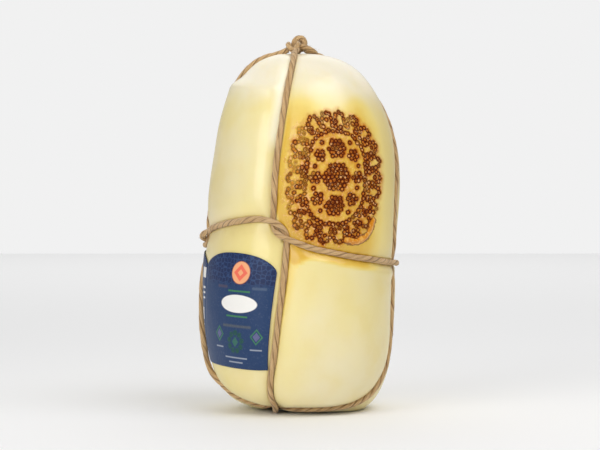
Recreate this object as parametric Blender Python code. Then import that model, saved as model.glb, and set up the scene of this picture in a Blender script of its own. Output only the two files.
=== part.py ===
"""A string-tied stretched-curd cheese, standing on its small flat base.

+Z is up and -Y is the side of the photograph. Lengths below are millimetres; MM turns them
into metres where a mesh is made. The cheese is one solid. Two strings start and end at the
knot on top: one goes under the cheese twice, the other goes once round the waist. They
hook round each other twice and lie in grooves of the cheese. A paper label sits on the left.
"""

import math

import bmesh
import bpy
import numpy as np

MM = 0.001

# The cheese: a rounded block of revolution whose axis sways a little.
RADIUS = 61.3
WIDEST_Z = 106.0
TOP_Z = 222.7
BASE_DROP = 1.5  # how far the plain shape would reach below the flat base
BASE_PRESS = 0.6  # how far the cheese's own weight flattens the base
UPPER_POWER, UPPER_ROUND = 3.0, 2.6
LOWER_POWER = 4.2
BODY_COLUMNS = 64
BODY_ROWS = 40

# Soft relief: valleys along the strings, a flatter left face and its shoulder.
VALLEY_DEPTH, VALLEY_WIDTH = 2.0, 6.5
PILLOW_DEPTH, PILLOW_WIDTH = 1.2, 16.0
FLAT_DEPTH, FLAT_AZIMUTH, FLAT_SPREAD = 1.9, -64.0, 30.0
SHOULDER_HEIGHT, SHOULDER_Z, SHOULDER_SPREAD = 0.9, 201.0, 6.0

# The strings and their knot.
TWINE_RADIUS = 1.85
TWINE_ROUNDNESS = 2  # the curve's bevel resolution: eight sides
TWINE_STEP = 8.0
TWINE_RISE = 0.6  # string centre above the bottom of its valley
TWINE_LOWEST = TWINE_RADIUS + 0.15
SINK = 1.3  # how far a string dips at a crossing where it goes under
GAP = 0.3  # clear space between neighbours
GROOVE_EASE = 0.15  # further room round a string, whose sides are flat facets

# The label: an arched front panel and the near part of a side panel, turned clockwise.
PAPER = 0.4
PAPER_LIFT = 0.5
PANEL_WIDTH, PANEL_HEIGHT, ARCH_RISE = 61.5, 70.2, 10.5
FRONT_COLUMNS, SIDE_COLUMNS, LABEL_ROWS = 14, 6, 12
SIDE_WIDTH = PANEL_WIDTH * SIDE_COLUMNS / FRONT_COLUMNS
SIDE_ARCH = 0.8  # the side panel's arch against the front one's
LABEL_LEAN, LABEL_DROP = 7.5, 0.04  # lean of its uprights in degrees, fall of its level lines
LABEL_AZIMUTH, LABEL_Z = -73.5, 65.5  # the seam between the two panels, at mid height

CHEESE_COLOUR = (0.86, 0.76, 0.40)
TWINE_COLOUR = (0.47, 0.32, 0.17)
LABEL_COLOUR = (0.03, 0.07, 0.15)


def clear_scene():
    """Removes whatever the start-up scene holds."""
    for obj in list(bpy.data.objects):
        bpy.data.objects.remove(obj, do_unlink=True)


def meridian(count=1400):
    """(s, r, z) of the plain side outline from the bottom pole to the top one, even in s."""
    q = np.linspace(0.0, math.pi / 2, 4000)
    low_r = RADIUS * np.cos(q) ** (2 / LOWER_POWER)
    low_z = WIDEST_Z - (WIDEST_Z + BASE_DROP) * np.sin(q) ** (2 / LOWER_POWER)
    top_z = WIDEST_Z + (TOP_Z - WIDEST_Z) * np.sin(q) ** (2 / UPPER_POWER)
    top_r = RADIUS * np.cos(q) ** (2 / UPPER_ROUND)
    r = np.concatenate([low_r[::-1], top_r[1:]])
    z = np.concatenate([low_z[::-1], top_z[1:]])
    s = np.concatenate([[0.0], np.cumsum(np.hypot(np.diff(r), np.diff(z)))])
    even = np.linspace(0.0, s[-1], count)
    return even, np.interp(even, s, r), np.interp(even, s, z)


SIDE_S, SIDE_R, SIDE_Z = meridian()
SIDE_DR, SIDE_DZ = np.gradient(SIDE_R, SIDE_S), np.gradient(SIDE_Z, SIDE_S)


def sway(z):
    """Sideways shift of the axis at height z."""
    z = np.clip(z, 0.0, TOP_Z)
    upper = 3.5 * np.exp(-(((z - 161.0) / 35.0) ** 2))
    lower = -0.8 * np.exp(-(((z - 60.0) / 34.0) ** 2))
    return upper + lower + 6.5 * np.exp(-z / 7.0) - 1.9 * np.exp(-(TOP_Z - z) / 5.0)


def skin(azimuth, s):
    """Points and outward normals of the plain cheese. The azimuth is in radians, 0 towards -Y."""
    azimuth, s = np.broadcast_arrays(np.asarray(azimuth, float), np.asarray(s, float))
    r, z = np.interp(s, SIDE_S, SIDE_R), np.interp(s, SIDE_S, SIDE_Z)
    out, up = np.interp(s, SIDE_S, SIDE_DZ), -np.interp(s, SIDE_S, SIDE_DR)
    flat = z < 0.0
    out, up = np.where(flat, 0.0, out), np.where(flat, -1.0, up)
    z = np.maximum(z, 0.0)
    size = np.hypot(out, up)
    point = np.stack([sway(z) + r * np.sin(azimuth), -r * np.cos(azimuth), z], -1)
    normal = np.stack([out * np.sin(azimuth), -out * np.cos(azimuth), up], -1) / size[..., None]
    return point, normal


def locate(points):
    """(azimuth, s) of the plain cheese nearest to each point."""
    x, y, z = points[:, 0] - sway(points[:, 2]), points[:, 1], points[:, 2]
    reach = np.hypot(x, y)
    plain_z = np.maximum(SIDE_Z, 0.0)
    off = (SIDE_R[None, :] - reach[:, None]) ** 2 + (plain_z[None, :] - z[:, None]) ** 2
    return np.arctan2(x, -y), SIDE_S[np.argmin(off, axis=1)]


def spot(degrees, z):
    """The point of the plain cheese at this azimuth and height."""
    return skin(math.radians(degrees), np.interp(z, SIDE_Z, SIDE_S))[0]


def cap(x, y, top=True):
    """The point of the top dome or of the flat base above or below (x, y)."""
    return np.array([x, y, TOP_Z if top else 0.0])


def spline(points, step):
    """Even points along a Catmull-Rom curve through the given ones, ends included."""
    p = np.vstack([2 * points[0] - points[1], points, 2 * points[-1] - points[-2]])
    t = np.linspace(0.0, 1.0, 24, endpoint=False)[:, None]
    parts = []
    for a, b, c, d in zip(p, p[1:], p[2:], p[3:]):
        parts.append(
            0.5 * (2 * b + (c - a) * t + (2 * a - 5 * b + 4 * c - d) * t**2
                   + (3 * b - a - 3 * c + d) * t**3)
        )
    dense = np.vstack(parts + [points[-1:]])
    along = np.concatenate([[0.0], np.cumsum(np.linalg.norm(np.diff(dense, axis=0), axis=1))])
    even = np.linspace(0.0, along[-1], max(4, round(along[-1] / step)) + 1)
    return np.stack([np.interp(even, along, dense[:, k]) for k in range(3)], -1)


# The string that goes under the cheese twice: down the back, across the base, up the front
# to the front hook, along the left waist, down the left, across the base, up the right.
CRADLE_ROUTE = np.array([
    cap(-2, 7), cap(-2, 18), spot(170, 213), spot(168, 196), spot(167, 170), spot(166, 140),
    spot(166, 97), spot(166, 50), spot(167, 25), spot(169, 8), cap(4, 33, False),
    cap(-4, 18, False), cap(-10, 2, False), cap(-14, -14, False), cap(-16, -26, False),
    spot(-30, 2), spot(-26, 7), spot(-20, 22), spot(-16, 35), spot(-12, 60), spot(-9, 84),
    spot(-8, 102), spot(-7.5, 108), spot(-9, 112), spot(-12, 115), spot(-15, 118),
    spot(-19, 119), spot(-24, 120), spot(-36, 119), spot(-58, 116), spot(-72, 114),
    spot(-82, 112), spot(-90, 108.5), spot(-96, 105), spot(-100, 101), spot(-102, 95),
    spot(-101, 84), spot(-94, 62), spot(-90, 38), spot(-87, 26), spot(-83, 16), spot(-73, 10),
    spot(-58, 4.5), spot(-45, 2), spot(-31, 1), spot(-12, 1), spot(6, 1), spot(21, 1.2),
    spot(36, 2.2), spot(48, 3.8), spot(61, 7.5), spot(69, 12), spot(75, 18), spot(79, 25),
    spot(81.5, 37), spot(81, 53), spot(80, 70), spot(80.5, 83), spot(81.5, 92), spot(78, 131),
    spot(79, 150), spot(82, 165), spot(86, 178), spot(91, 190),
    spot(101, 203), spot(115, 212), cap(20, 17), cap(13.5, 9.5), cap(8, 1),
])
# The string round the waist: down the front, round the right and the back, up the left.
GIRDLE_ROUTE = np.array([
    cap(-4, -8), cap(-4, -18), spot(-8, 216), spot(-12, 196), spot(-15, 179), spot(-18, 155),
    spot(-18, 143), spot(-17, 128), spot(-17.5, 119), spot(-17, 115), spot(-14, 112),
    spot(-11, 109), spot(-7, 107.5), spot(-3, 106), spot(2, 104), spot(9, 101.5), spot(18, 100),
    spot(32, 97), spot(48, 95), spot(65, 93), spot(81.5, 92), spot(98, 91.5), spot(120, 92),
    spot(142, 94), spot(166, 97), spot(205, 103.5), spot(225, 106.5), spot(242, 106.5),
    spot(251, 104.5), spot(258.5, 102), spot(264.5, 104), spot(268.5, 107), spot(269, 111),
    spot(267, 116), spot(261.5, 125), spot(257.5, 140), spot(257, 160), spot(259, 180),
    spot(268, 203), spot(274, 209.5), spot(278, 215), cap(-20, -4), cap(-13, -2),
])
# Where strings cross: (point, which goes under which, rise of the outer, reach of the bump).
# At the base the cradle crosses itself, and its first pass is the outside one.
CROSSINGS = (
    (spot(-18, 119), "girdle under cradle", 1.9, 8.0),
    (spot(-7.5, 107.5), "cradle under girdle", 1.9, 8.0),
    (spot(81.5, 92), "cradle under girdle", 1.9, 9.0),
    (spot(166, 97), "cradle under girdle", 1.9, 9.0),
    (spot(-91, 108.5), "girdle under cradle", 5.2, 9.5),
    (spot(-100.5, 101.5), "cradle under girdle", 1.6, 8.0),
    (spot(-29, 1.5), "second pass under first", 1.4, 9.0),
)
KNOT_ROUTE = np.array([
    (-0.2, -4.4, 230.4), (-1.7, -4.3, 227.1), (-4.2, -3.6, 224.8), (-7.6, -1.4, 224.7),
    (-8.2, 1.8, 225.4), (-5.4, 4.3, 226.6), (-3.4, 3.0, 228.9), (-3.2, 0.6, 231.2),
    (0.0, 0.1, 233.2), (3.1, 0.0, 230.6), (3.0, -0.2, 227.6), (2.2, 0.4, 224.8),
])


def on_skin(route, step=2.0):
    """(points, normals) along a route, laid on the plain cheese."""
    path = spline(route, step)
    point, normal = skin(*locate(path))
    for _ in range(3):
        point[1:-1] = 0.25 * (point[:-2] + point[2:]) + 0.5 * point[1:-1]
        normal[1:-1] = 0.25 * (normal[:-2] + normal[2:]) + 0.5 * normal[1:-1]
    return point, normal / np.linalg.norm(normal, axis=1)[:, None]


CRADLE_LINE, CRADLE_OUT = on_skin(CRADLE_ROUTE)
GIRDLE_LINE, GIRDLE_OUT = on_skin(GIRDLE_ROUTE)


def nearest(points, line):
    """Distance from each point to a line's points, between them too."""
    best = np.full(len(points), 1e9)
    for start in range(0, len(points), 2000):
        some = points[start:start + 2000]
        a, ab = line[:-1], line[1:] - line[:-1]
        t = ((some[:, None, :] - a) * ab).sum(-1) / (ab * ab).sum(-1)
        foot = a + np.clip(t, 0.0, 1.0)[..., None] * ab
        best[start:start + 2000] = np.linalg.norm(some[:, None, :] - foot, axis=-1).min(axis=1)
    return best


def smooth_between(low, high, value):
    """0 below low, 1 above high, eased between."""
    t = np.clip((value - low) / (high - low), 0.0, 1.0)
    return t * t * (3 - 2 * t)


def label_cover(points):
    """1 well inside the label's place and 0 outside, for the points of the plain cheese."""
    degrees = np.degrees(np.arctan2(points[:, 0] - sway(points[:, 2]), -points[:, 1]))
    z = points[:, 2]
    edge = LABEL_AZIMUTH - math.degrees(SIDE_WIDTH / RADIUS) + 0.125 * (z - LABEL_Z)
    side = smooth_between(-13, -5, degrees - edge) * (1 - smooth_between(-40, -22, degrees))
    return side * smooth_between(13, 25, z) * (1 - smooth_between(88, 100, z))


def relief(points):
    """Height of the real cheese above the plain one."""
    close = []
    for line in (CRADLE_LINE, GIRDLE_LINE):
        d = nearest(points, line)
        close.append((np.exp(-((d / VALLEY_WIDTH) ** 2)), np.exp(-((d / PILLOW_WIDTH) ** 2))))
    narrow = 1 - (1 - close[0][0]) * (1 - close[1][0])
    wide = 1 - (1 - close[0][1]) * (1 - close[1][1])
    x, y, z = points[:, 0] - sway(points[:, 2]), points[:, 1], points[:, 2]
    crown = 1 - 0.75 * smooth_between(206, 221, z)
    eased = 1 - 0.5 * label_cover(points)
    degrees = np.degrees(np.arctan2(x, -y))
    face = np.exp(-(((degrees - FLAT_AZIMUTH) / FLAT_SPREAD) ** 2))
    face *= smooth_between(6, 40, z) * (1 - smooth_between(186, 204, z))
    brow = np.exp(-(((degrees + 52.0) / 26.0) ** 2))
    brow = brow * np.exp(-(((z - SHOULDER_Z) / SHOULDER_SPREAD) ** 2))
    return (SHOULDER_HEIGHT * brow - FLAT_DEPTH * face
            - crown * (eased * VALLEY_DEPTH * narrow + PILLOW_DEPTH * wide))


def string_centre(line, out, name):
    """The centre line of a string in its valley, raised or sunk at the crossings."""
    lift = relief(line) + TWINE_RISE
    lift += (PAPER_LIFT + PAPER + GAP + 1.6) * label_cover(line)
    second = np.arange(len(line)) > len(line) / 2
    for place, order, rise, reach in CROSSINGS:
        q = np.clip(np.linalg.norm(line - place, axis=1) / reach, 0.0, 1.0)
        under = second if order.startswith("second") else order.startswith(name)
        lift += np.where(under, -SINK, rise) * (1 - q * q) ** 2
    return line + out * lift[:, None]


def push_apart(first, second, need, apart=0):
    """Moves both lines away from each other where they come closer than need.

    With apart set, the lines are the same one and points that near along it are left out.
    """
    d = np.linalg.norm(first[:, None, :] - second[None, :, :], axis=-1)
    if apart:
        i, j = np.indices(d.shape)
        d = np.where(np.abs(i - j) < apart, 1e9, d)
    j = np.argmin(d, axis=1)
    gap = d[np.arange(len(first)), j]
    away = (first - second[j]) / np.maximum(gap, 1e-6)[:, None]
    return first + away * (0.5 * np.maximum(need - gap, 0.0))[:, None]


def settle(cradle, girdle):
    """Lets the two strings ease round each other until both are clear by GAP."""
    need = 2 * TWINE_RADIUS + GAP + GROOVE_EASE
    start = [cradle.copy(), girdle.copy()]
    lines = [cradle, girdle]
    for turn in range(150):
        for k in range(2):
            p = lines[k]
            if turn < 130:
                bend = np.zeros_like(p)
                bend[1:-1] = p[:-2] + p[2:] - 2 * p[1:-1]
                p = p + 0.22 * bend + 0.10 * (start[k] - p)
            lines[k] = p
        a, b = lines
        lines = [push_apart(a, b, need), push_apart(b, a, need)]
        lines[0] = push_apart(lines[0], lines[0], need, apart=12)
        for p in lines:
            p[:, 2] = np.maximum(p[:, 2], TWINE_LOWEST)
    return lines


def coarse(line, step, sharp=0.2):
    """Fewer points of a fine line: about one a step, and more where it bends."""
    run = np.linalg.norm(np.diff(line, axis=0), axis=1)
    tangent = np.diff(line, axis=0) / run[:, None]
    turn = np.linalg.norm(np.diff(tangent, axis=0), axis=1)
    kept, far, bent = [0], 0.0, 0.0
    for k in range(1, len(line) - 1):
        far += run[k - 1]
        bent += turn[k - 1]
        if far >= step or (bent > sharp and far > 1.7):
            kept.append(k)
            far = bent = 0.0
    if len(line) - 1 - kept[-1] < 2 and len(kept) > 1:
        kept.pop()
    return line[kept + [len(line) - 1]]


def cord(name, path, radius):
    """A round cord with flat ends along a path, as a bevelled curve."""
    data = bpy.data.curves.new(name, "CURVE")
    data.dimensions = "3D"
    data.twist_mode = "MINIMUM"
    data.bevel_depth = radius * MM
    data.bevel_resolution = TWINE_ROUNDNESS
    data.use_fill_caps = True
    line = data.splines.new("POLY")
    line.points.add(len(path) - 1)
    for point, place in zip(line.points, path * MM):
        point.co = (*place, 1.0)
    obj = bpy.data.objects.new(name, data)
    bpy.context.scene.collection.objects.link(obj)
    return obj


def groove_cutter(name, path):
    """A hidden mesh of the room that a length of string takes in the cheese."""
    guide = cord(name, path, TWINE_RADIUS + GAP + GROOVE_EASE)
    bm = bmesh.new()
    bm.from_mesh(bpy.data.meshes.new_from_object(guide))
    bpy.data.objects.remove(guide, do_unlink=True)
    bmesh.ops.remove_doubles(bm, verts=bm.verts, dist=0.00001)
    bmesh.ops.recalc_face_normals(bm, faces=bm.faces)
    data = bpy.data.meshes.new(name)
    bm.to_mesh(data)
    bm.free()
    cutter = bpy.data.objects.new(name, data)
    bpy.context.scene.collection.objects.link(cutter)
    cutter.hide_render = True
    cutter.display_type = "WIRE"
    return cutter


def cut_grooves(obj, path):
    """Cuts a string's groove in two lengths, so that no cutter runs into itself."""
    tangent = path[1] - path[0], path[-1] - path[-2]
    path = path.copy()
    path[0] -= 0.6 * tangent[0] / np.linalg.norm(tangent[0])
    path[-1] += 0.6 * tangent[1] / np.linalg.norm(tangent[1])
    middle = len(path) // 2
    for part in (path[:middle + 1], path[middle - 1:]):
        cutter = groove_cutter("groove", part)
        cutting = obj.modifiers.new(cutter.name, "BOOLEAN")
        cutting.operation = "DIFFERENCE"
        cutting.solver = "MANIFOLD"  # the exact solver fails at the tight bends of the hooks
        cutting.object = cutter


def cheese_body():
    """The cheese before its grooves are cut: a globe whose points move to the real form."""
    bm = bmesh.new()
    bmesh.ops.create_uvsphere(bm, u_segments=BODY_COLUMNS, v_segments=BODY_ROWS, radius=1.0)
    globe = np.array([vert.co for vert in bm.verts])
    rim = np.interp(0.0, SIDE_Z, SIDE_S)
    row = BODY_ROWS * (np.arcsin(np.clip(globe[:, 2], -1, 1)) / math.pi + 0.5)
    base_rows = 4
    s = np.where(row < base_rows, rim * row / base_rows,
                 rim + (SIDE_S[-1] - rim) * (row - base_rows) / (BODY_ROWS - base_rows))
    point, normal = skin(np.arctan2(globe[:, 0], -globe[:, 1]), s)
    place = point + normal * relief(point)[:, None]
    pressed = 1 - smooth_between(BASE_PRESS, 5 * BASE_PRESS, place[:, 2])
    place[:, 2] = np.maximum(place[:, 2] - BASE_PRESS * pressed, 0.0)
    for vert, co in zip(bm.verts, place * MM):
        vert.co = co
    return add_mesh("cheese", bm)


def arch_top(across):
    """Height of a panel's upper edge above its straight sides, for -1..1 across it."""
    across = np.clip(across, -1, 1)
    return ARCH_RISE * (1 - np.abs(across) ** np.where(across < 0, 2.1, 2.6)) ** 0.68


def label_point(x, v, lift):
    """A point of the label: x millimetres right of the seam, v from 0 at the foot to 1."""
    across = np.where(x < 0, 1 + 2 * x / PANEL_WIDTH, 2 * x / PANEL_WIDTH - 1)
    rise = arch_top(across) * np.where(x < 0, SIDE_ARCH, 1.0)
    y = v * (PANEL_HEIGHT - ARCH_RISE + rise) - PANEL_HEIGHT / 2
    along = x + y * math.tan(math.radians(LABEL_LEAN))
    middle = np.interp(LABEL_Z, SIDE_Z, SIDE_S)
    azimuth = math.radians(LABEL_AZIMUTH) + along / RADIUS
    point, normal = skin(azimuth, middle + y - x * LABEL_DROP)
    return point + normal * (relief(point) + lift)[:, None]


def label_sheet():
    """The label: a grid bent over the cheese and thickened outwards to the paper's thickness."""
    bm = bmesh.new()
    bmesh.ops.create_grid(bm, x_segments=SIDE_COLUMNS + FRONT_COLUMNS, y_segments=LABEL_ROWS,
                          size=0.5)
    flat = np.array([vert.co for vert in bm.verts])
    x = (flat[:, 0] + 0.5) * (SIDE_WIDTH + PANEL_WIDTH) - SIDE_WIDTH
    place = label_point(x, flat[:, 1] + 0.5, PAPER_LIFT)
    for vert, co in zip(bm.verts, place * MM):
        vert.co = co
    obj = add_mesh("label", bm)
    paper = obj.modifiers.new("paper", "SOLIDIFY")
    paper.thickness = PAPER * MM
    paper.offset = 1.0
    return obj


def add_mesh(name, bm):
    """A smooth-shaded object from a bmesh."""
    data = bpy.data.meshes.new(name)
    bm.to_mesh(data)
    bm.free()
    data.shade_smooth()
    obj = bpy.data.objects.new(name, data)
    bpy.context.scene.collection.objects.link(obj)
    return obj


def paint(obj, colour, roughness):
    """Gives an object its own material."""
    material = bpy.data.materials.new(obj.name)
    material.use_nodes = True
    shader = material.node_tree.nodes["Principled BSDF"]
    shader.inputs["Base Color"].default_value = (*colour, 1.0)
    shader.inputs["Roughness"].default_value = roughness
    material.diffuse_color = (*colour, 1.0)
    obj.data.materials.append(material)


def main():
    """Builds the cheese, its two strings, the knot and the label."""
    clear_scene()
    cradle, girdle = settle(
        string_centre(CRADLE_LINE, CRADLE_OUT, "cradle"),
        string_centre(GIRDLE_LINE, GIRDLE_OUT, "girdle"),
    )
    cheese = cheese_body()
    paint(cheese, CHEESE_COLOUR, 0.4)
    for name, line in (("twine_cradle", cradle), ("twine_girdle", girdle)):
        path = coarse(line, TWINE_STEP)
        paint(cord(name, path, TWINE_RADIUS), TWINE_COLOUR, 0.85)
        cut_grooves(cheese, path)
    knot = cord("twine_knot", spline(KNOT_ROUTE, 2.2), TWINE_RADIUS)
    paint(knot, TWINE_COLOUR, 0.85)
    paint(label_sheet(), LABEL_COLOUR, 0.45)


main()
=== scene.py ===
"""A stretched-curd cheese in its twine, dressed in fine detail around the solid model.

+Z is up and -Y faces the camera. The shape work below is done in millimetres, and MM turns
it into metres where a mesh is made. The studio is set up in metres. The cheese's form, the
strings' routes and the label's place repeat those of the solid model, so each fine piece
lies where its solid lies.
"""

import logging
import math
from collections.abc import Callable, Iterable
from dataclasses import dataclass, field
from enum import Enum
from functools import cached_property, reduce
from typing import Any

import bpy
import numpy as np
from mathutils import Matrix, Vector, noise


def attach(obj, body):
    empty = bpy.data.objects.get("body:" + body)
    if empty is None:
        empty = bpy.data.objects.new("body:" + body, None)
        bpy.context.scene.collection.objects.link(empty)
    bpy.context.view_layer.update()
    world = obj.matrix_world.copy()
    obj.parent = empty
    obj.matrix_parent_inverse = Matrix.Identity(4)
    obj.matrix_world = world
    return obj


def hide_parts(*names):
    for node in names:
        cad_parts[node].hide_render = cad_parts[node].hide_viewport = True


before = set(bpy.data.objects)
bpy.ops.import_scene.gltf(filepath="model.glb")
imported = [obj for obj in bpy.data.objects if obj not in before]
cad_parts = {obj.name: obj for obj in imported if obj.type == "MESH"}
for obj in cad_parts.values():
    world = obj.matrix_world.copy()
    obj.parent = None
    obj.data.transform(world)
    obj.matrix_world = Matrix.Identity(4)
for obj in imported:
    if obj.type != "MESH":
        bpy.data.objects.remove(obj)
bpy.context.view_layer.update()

MM = 0.001
BODY = "root"
FAR_AWAY = 1e9
ROWS_AT_ONCE = 1500
SPLINE_STEPS = 24
MIDDLE_HEIGHT = 0.1152
log = logging.getLogger("cheese")

Colour = tuple[float, float, float, float]
Pair = tuple[float, float]
Triple = tuple[float, float, float]
Socket = bpy.types.NodeSocket
Array = np.ndarray


def tone(code: str) -> Colour:
    """Turns a screen colour into the linear one that a shader takes.

    Args:
        code: The colour as #rrggbb.

    Returns:
        Linear red, green and blue, and full alpha.
    """
    parts = [int(code[k:k + 2], 16) / 255 for k in (1, 3, 5)]
    linear = [c / 12.92 if c <= 0.04045 else ((c + 0.055) / 1.055) ** 2.4 for c in parts]
    return (linear[0], linear[1], linear[2], 1.0)


def smooth_between(low: float, high: float, value: Array) -> Array:
    """0 below low, 1 above high, eased between."""
    t = np.clip((value - low) / (high - low), 0.0, 1.0)
    return t * t * (3 - 2 * t)


def bell(value: Array, middle: float | Array, width: float | Array) -> Array:
    """1 at the middle, falling off alike on both sides."""
    return np.exp(-(((value - middle) / width) ** 2))


def spline(points: Array, step: float) -> Array:
    """Runs a smooth curve through points.

    Args:
        points: The points to pass through.
        step: The spacing of the result.

    Returns:
        Evenly spaced points along the curve, ends included.
    """
    p = np.vstack([2 * points[0] - points[1], points, 2 * points[-1] - points[-2]])
    t = np.linspace(0.0, 1.0, SPLINE_STEPS, endpoint=False)[:, None]
    parts = []
    for a, b, c, d in zip(p, p[1:], p[2:], p[3:]):
        parts.append(0.5 * (2 * b + (c - a) * t + (2 * a - 5 * b + 4 * c - d) * t**2
                            + (3 * b - a - 3 * c + d) * t**3))
    return evenly(np.vstack(parts + [points[-1:]]), step)


def evenly(line: Array, step: float) -> Array:
    """Sets a line's points about one step apart.

    Args:
        line: The line's points, in order.
        step: The spacing of the result.

    Returns:
        Points along the same line, ends included.
    """
    run = np.linalg.norm(np.diff(line, axis=0), axis=1)
    along = np.concatenate([[0.0], np.cumsum(run)])
    even = np.linspace(0.0, along[-1], max(4, round(along[-1] / step)) + 1)
    return np.stack([np.interp(even, along, line[:, k]) for k in range(3)], -1)


def foot_on(points: Array, line: Array) -> tuple[Array, Array]:
    """Finds the nearest place of a line for each point.

    Args:
        points: The points to measure from.
        line: The line's points, in order.

    Returns:
        The distances, and the nearest places.
    """
    best = np.full(len(points), FAR_AWAY)
    foot = np.zeros((len(points), 3))
    a, ab = line[:-1], line[1:] - line[:-1]
    size = (ab * ab).sum(-1)
    for start in range(0, len(points), ROWS_AT_ONCE):
        some = points[start:start + ROWS_AT_ONCE]
        t = np.clip(((some[:, None, :] - a) * ab).sum(-1) / size, 0.0, 1.0)
        place = a + t[..., None] * ab
        d = np.linalg.norm(some[:, None, :] - place, axis=-1)
        k = np.argmin(d, axis=1)
        rows = np.arange(len(some))
        best[start:start + ROWS_AT_ONCE] = d[rows, k]
        foot[start:start + ROWS_AT_ONCE] = place[rows, k]
    return best, foot


# ---------------------------------------------------------------------------------------
# The cheese's form
# ---------------------------------------------------------------------------------------


@dataclass(frozen=True)
class CheeseForm:
    """The plain cheese: a rounded block of revolution whose axis sways a little.

    The upper and the lower sway are each a shift, its height and its spread. The foot's and
    the crown's are each a shift at the end and the height over which it fades.
    """

    radius: float = 61.3
    widest_z: float = 106.0
    top_z: float = 222.7
    base_drop: float = 1.5
    base_press: float = 0.6
    upper_power: float = 3.0
    upper_round: float = 2.6
    lower_power: float = 4.2
    upper_sway: Triple = (3.5, 161.0, 35.0)
    lower_sway: Triple = (-0.8, 60.0, 34.0)
    foot_sway: Pair = (6.5, 7.0)
    crown_sway: Pair = (-1.9, 5.0)
    outline_steps: int = 4000
    outline_points: int = 1400

    @cached_property
    def side(self) -> tuple[Array, Array, Array]:
        """Draws the side outline from the bottom pole to the top one.

        Returns:
            The length along it, even in its steps, and the radius and height there.
        """
        q = np.linspace(0.0, math.pi / 2, self.outline_steps)
        low_r = self.radius * np.cos(q) ** (2 / self.lower_power)
        drop = self.widest_z + self.base_drop
        low_z = self.widest_z - drop * np.sin(q) ** (2 / self.lower_power)
        rise = self.top_z - self.widest_z
        top_z = self.widest_z + rise * np.sin(q) ** (2 / self.upper_power)
        top_r = self.radius * np.cos(q) ** (2 / self.upper_round)
        r = np.concatenate([low_r[::-1], top_r[1:]])
        z = np.concatenate([low_z[::-1], top_z[1:]])
        s = np.concatenate([[0.0], np.cumsum(np.hypot(np.diff(r), np.diff(z)))])
        even = np.linspace(0.0, s[-1], self.outline_points)
        return even, np.interp(even, s, r), np.interp(even, s, z)

    def sway(self, z: Array) -> Array:
        """Shifts the axis sideways.

        Args:
            z: Heights.

        Returns:
            The shift towards +X at each height.
        """
        z = np.clip(z, 0.0, self.top_z)
        shift = 0.0
        for size, height, spread in (self.upper_sway, self.lower_sway):
            shift = shift + size * bell(z, height, spread)
        for (size, fade), away in ((self.foot_sway, z), (self.crown_sway, self.top_z - z)):
            shift = shift + size * np.exp(-away / fade)
        return shift

    def skin(self, azimuth: Array, s: Array) -> tuple[Array, Array]:
        """Places points on the plain cheese.

        Args:
            azimuth: Angles in radians, 0 towards -Y.
            s: Lengths along the side outline from the bottom pole.

        Returns:
            The points and the outward normals.
        """
        azimuth, s = np.broadcast_arrays(np.asarray(azimuth, float), np.asarray(s, float))
        run, side_r, side_z = self.side
        r, z = np.interp(s, run, side_r), np.interp(s, run, side_z)
        out = np.interp(s, run, np.gradient(side_z, run))
        up = -np.interp(s, run, np.gradient(side_r, run))
        flat = z < 0.0
        out, up = np.where(flat, 0.0, out), np.where(flat, -1.0, up)
        z = np.maximum(z, 0.0)
        size = np.hypot(out, up)[..., None]
        sin, cos = np.sin(azimuth), np.cos(azimuth)
        point = np.stack([self.sway(z) + r * sin, -r * cos, z], -1)
        return point, np.stack([out * sin, -out * cos, up], -1) / size

    def azimuth(self, points: Array) -> Array:
        """The angle of each point round the cheese's axis, in radians."""
        return np.arctan2(points[:, 0] - self.sway(points[:, 2]), -points[:, 1])

    def locate(self, points: Array) -> tuple[Array, Array]:
        """Finds the plain cheese's nearest place for each point.

        Args:
            points: Points on or near the cheese.

        Returns:
            The azimuths, and the lengths along the side outline.
        """
        reach = np.hypot(points[:, 0] - self.sway(points[:, 2]), points[:, 1])
        run, side_r, side_z = self.side
        high = np.maximum(side_z, 0.0)[None, :] - points[:, 2][:, None]
        off = (side_r[None, :] - reach[:, None]) ** 2 + high**2
        return self.azimuth(points), run[np.argmin(off, axis=1)]

    def s_at(self, z: float) -> float:
        """The length along the side outline at height z."""
        return float(np.interp(z, self.side[2], self.side[0]))

    def spot(self, degrees: float, z: float) -> Array:
        """The point of the plain cheese at this azimuth and height."""
        return self.skin(math.radians(degrees), self.s_at(z))[0]

    def cap(self, x: float, y: float, top: bool = True) -> Array:
        """The point of the top dome or of the flat base above or below (x, y)."""
        return np.array([x, y, self.top_z if top else 0.0])


# ---------------------------------------------------------------------------------------
# The strings' routes
# ---------------------------------------------------------------------------------------


class Strand(Enum):
    """The two strings: one goes under the cheese twice, the other round its waist."""

    CRADLE = "cradle"
    GIRDLE = "girdle"


class Lower(Enum):
    """What passes underneath where strings cross."""

    CRADLE = "cradle"
    GIRDLE = "girdle"
    SECOND_PASS = "second pass"


@dataclass(frozen=True)
class Crossing:
    """A place where strings cross: what goes under, and how far and wide the other rises."""

    place: Array
    lower: Lower
    rise: float
    reach: float


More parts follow.
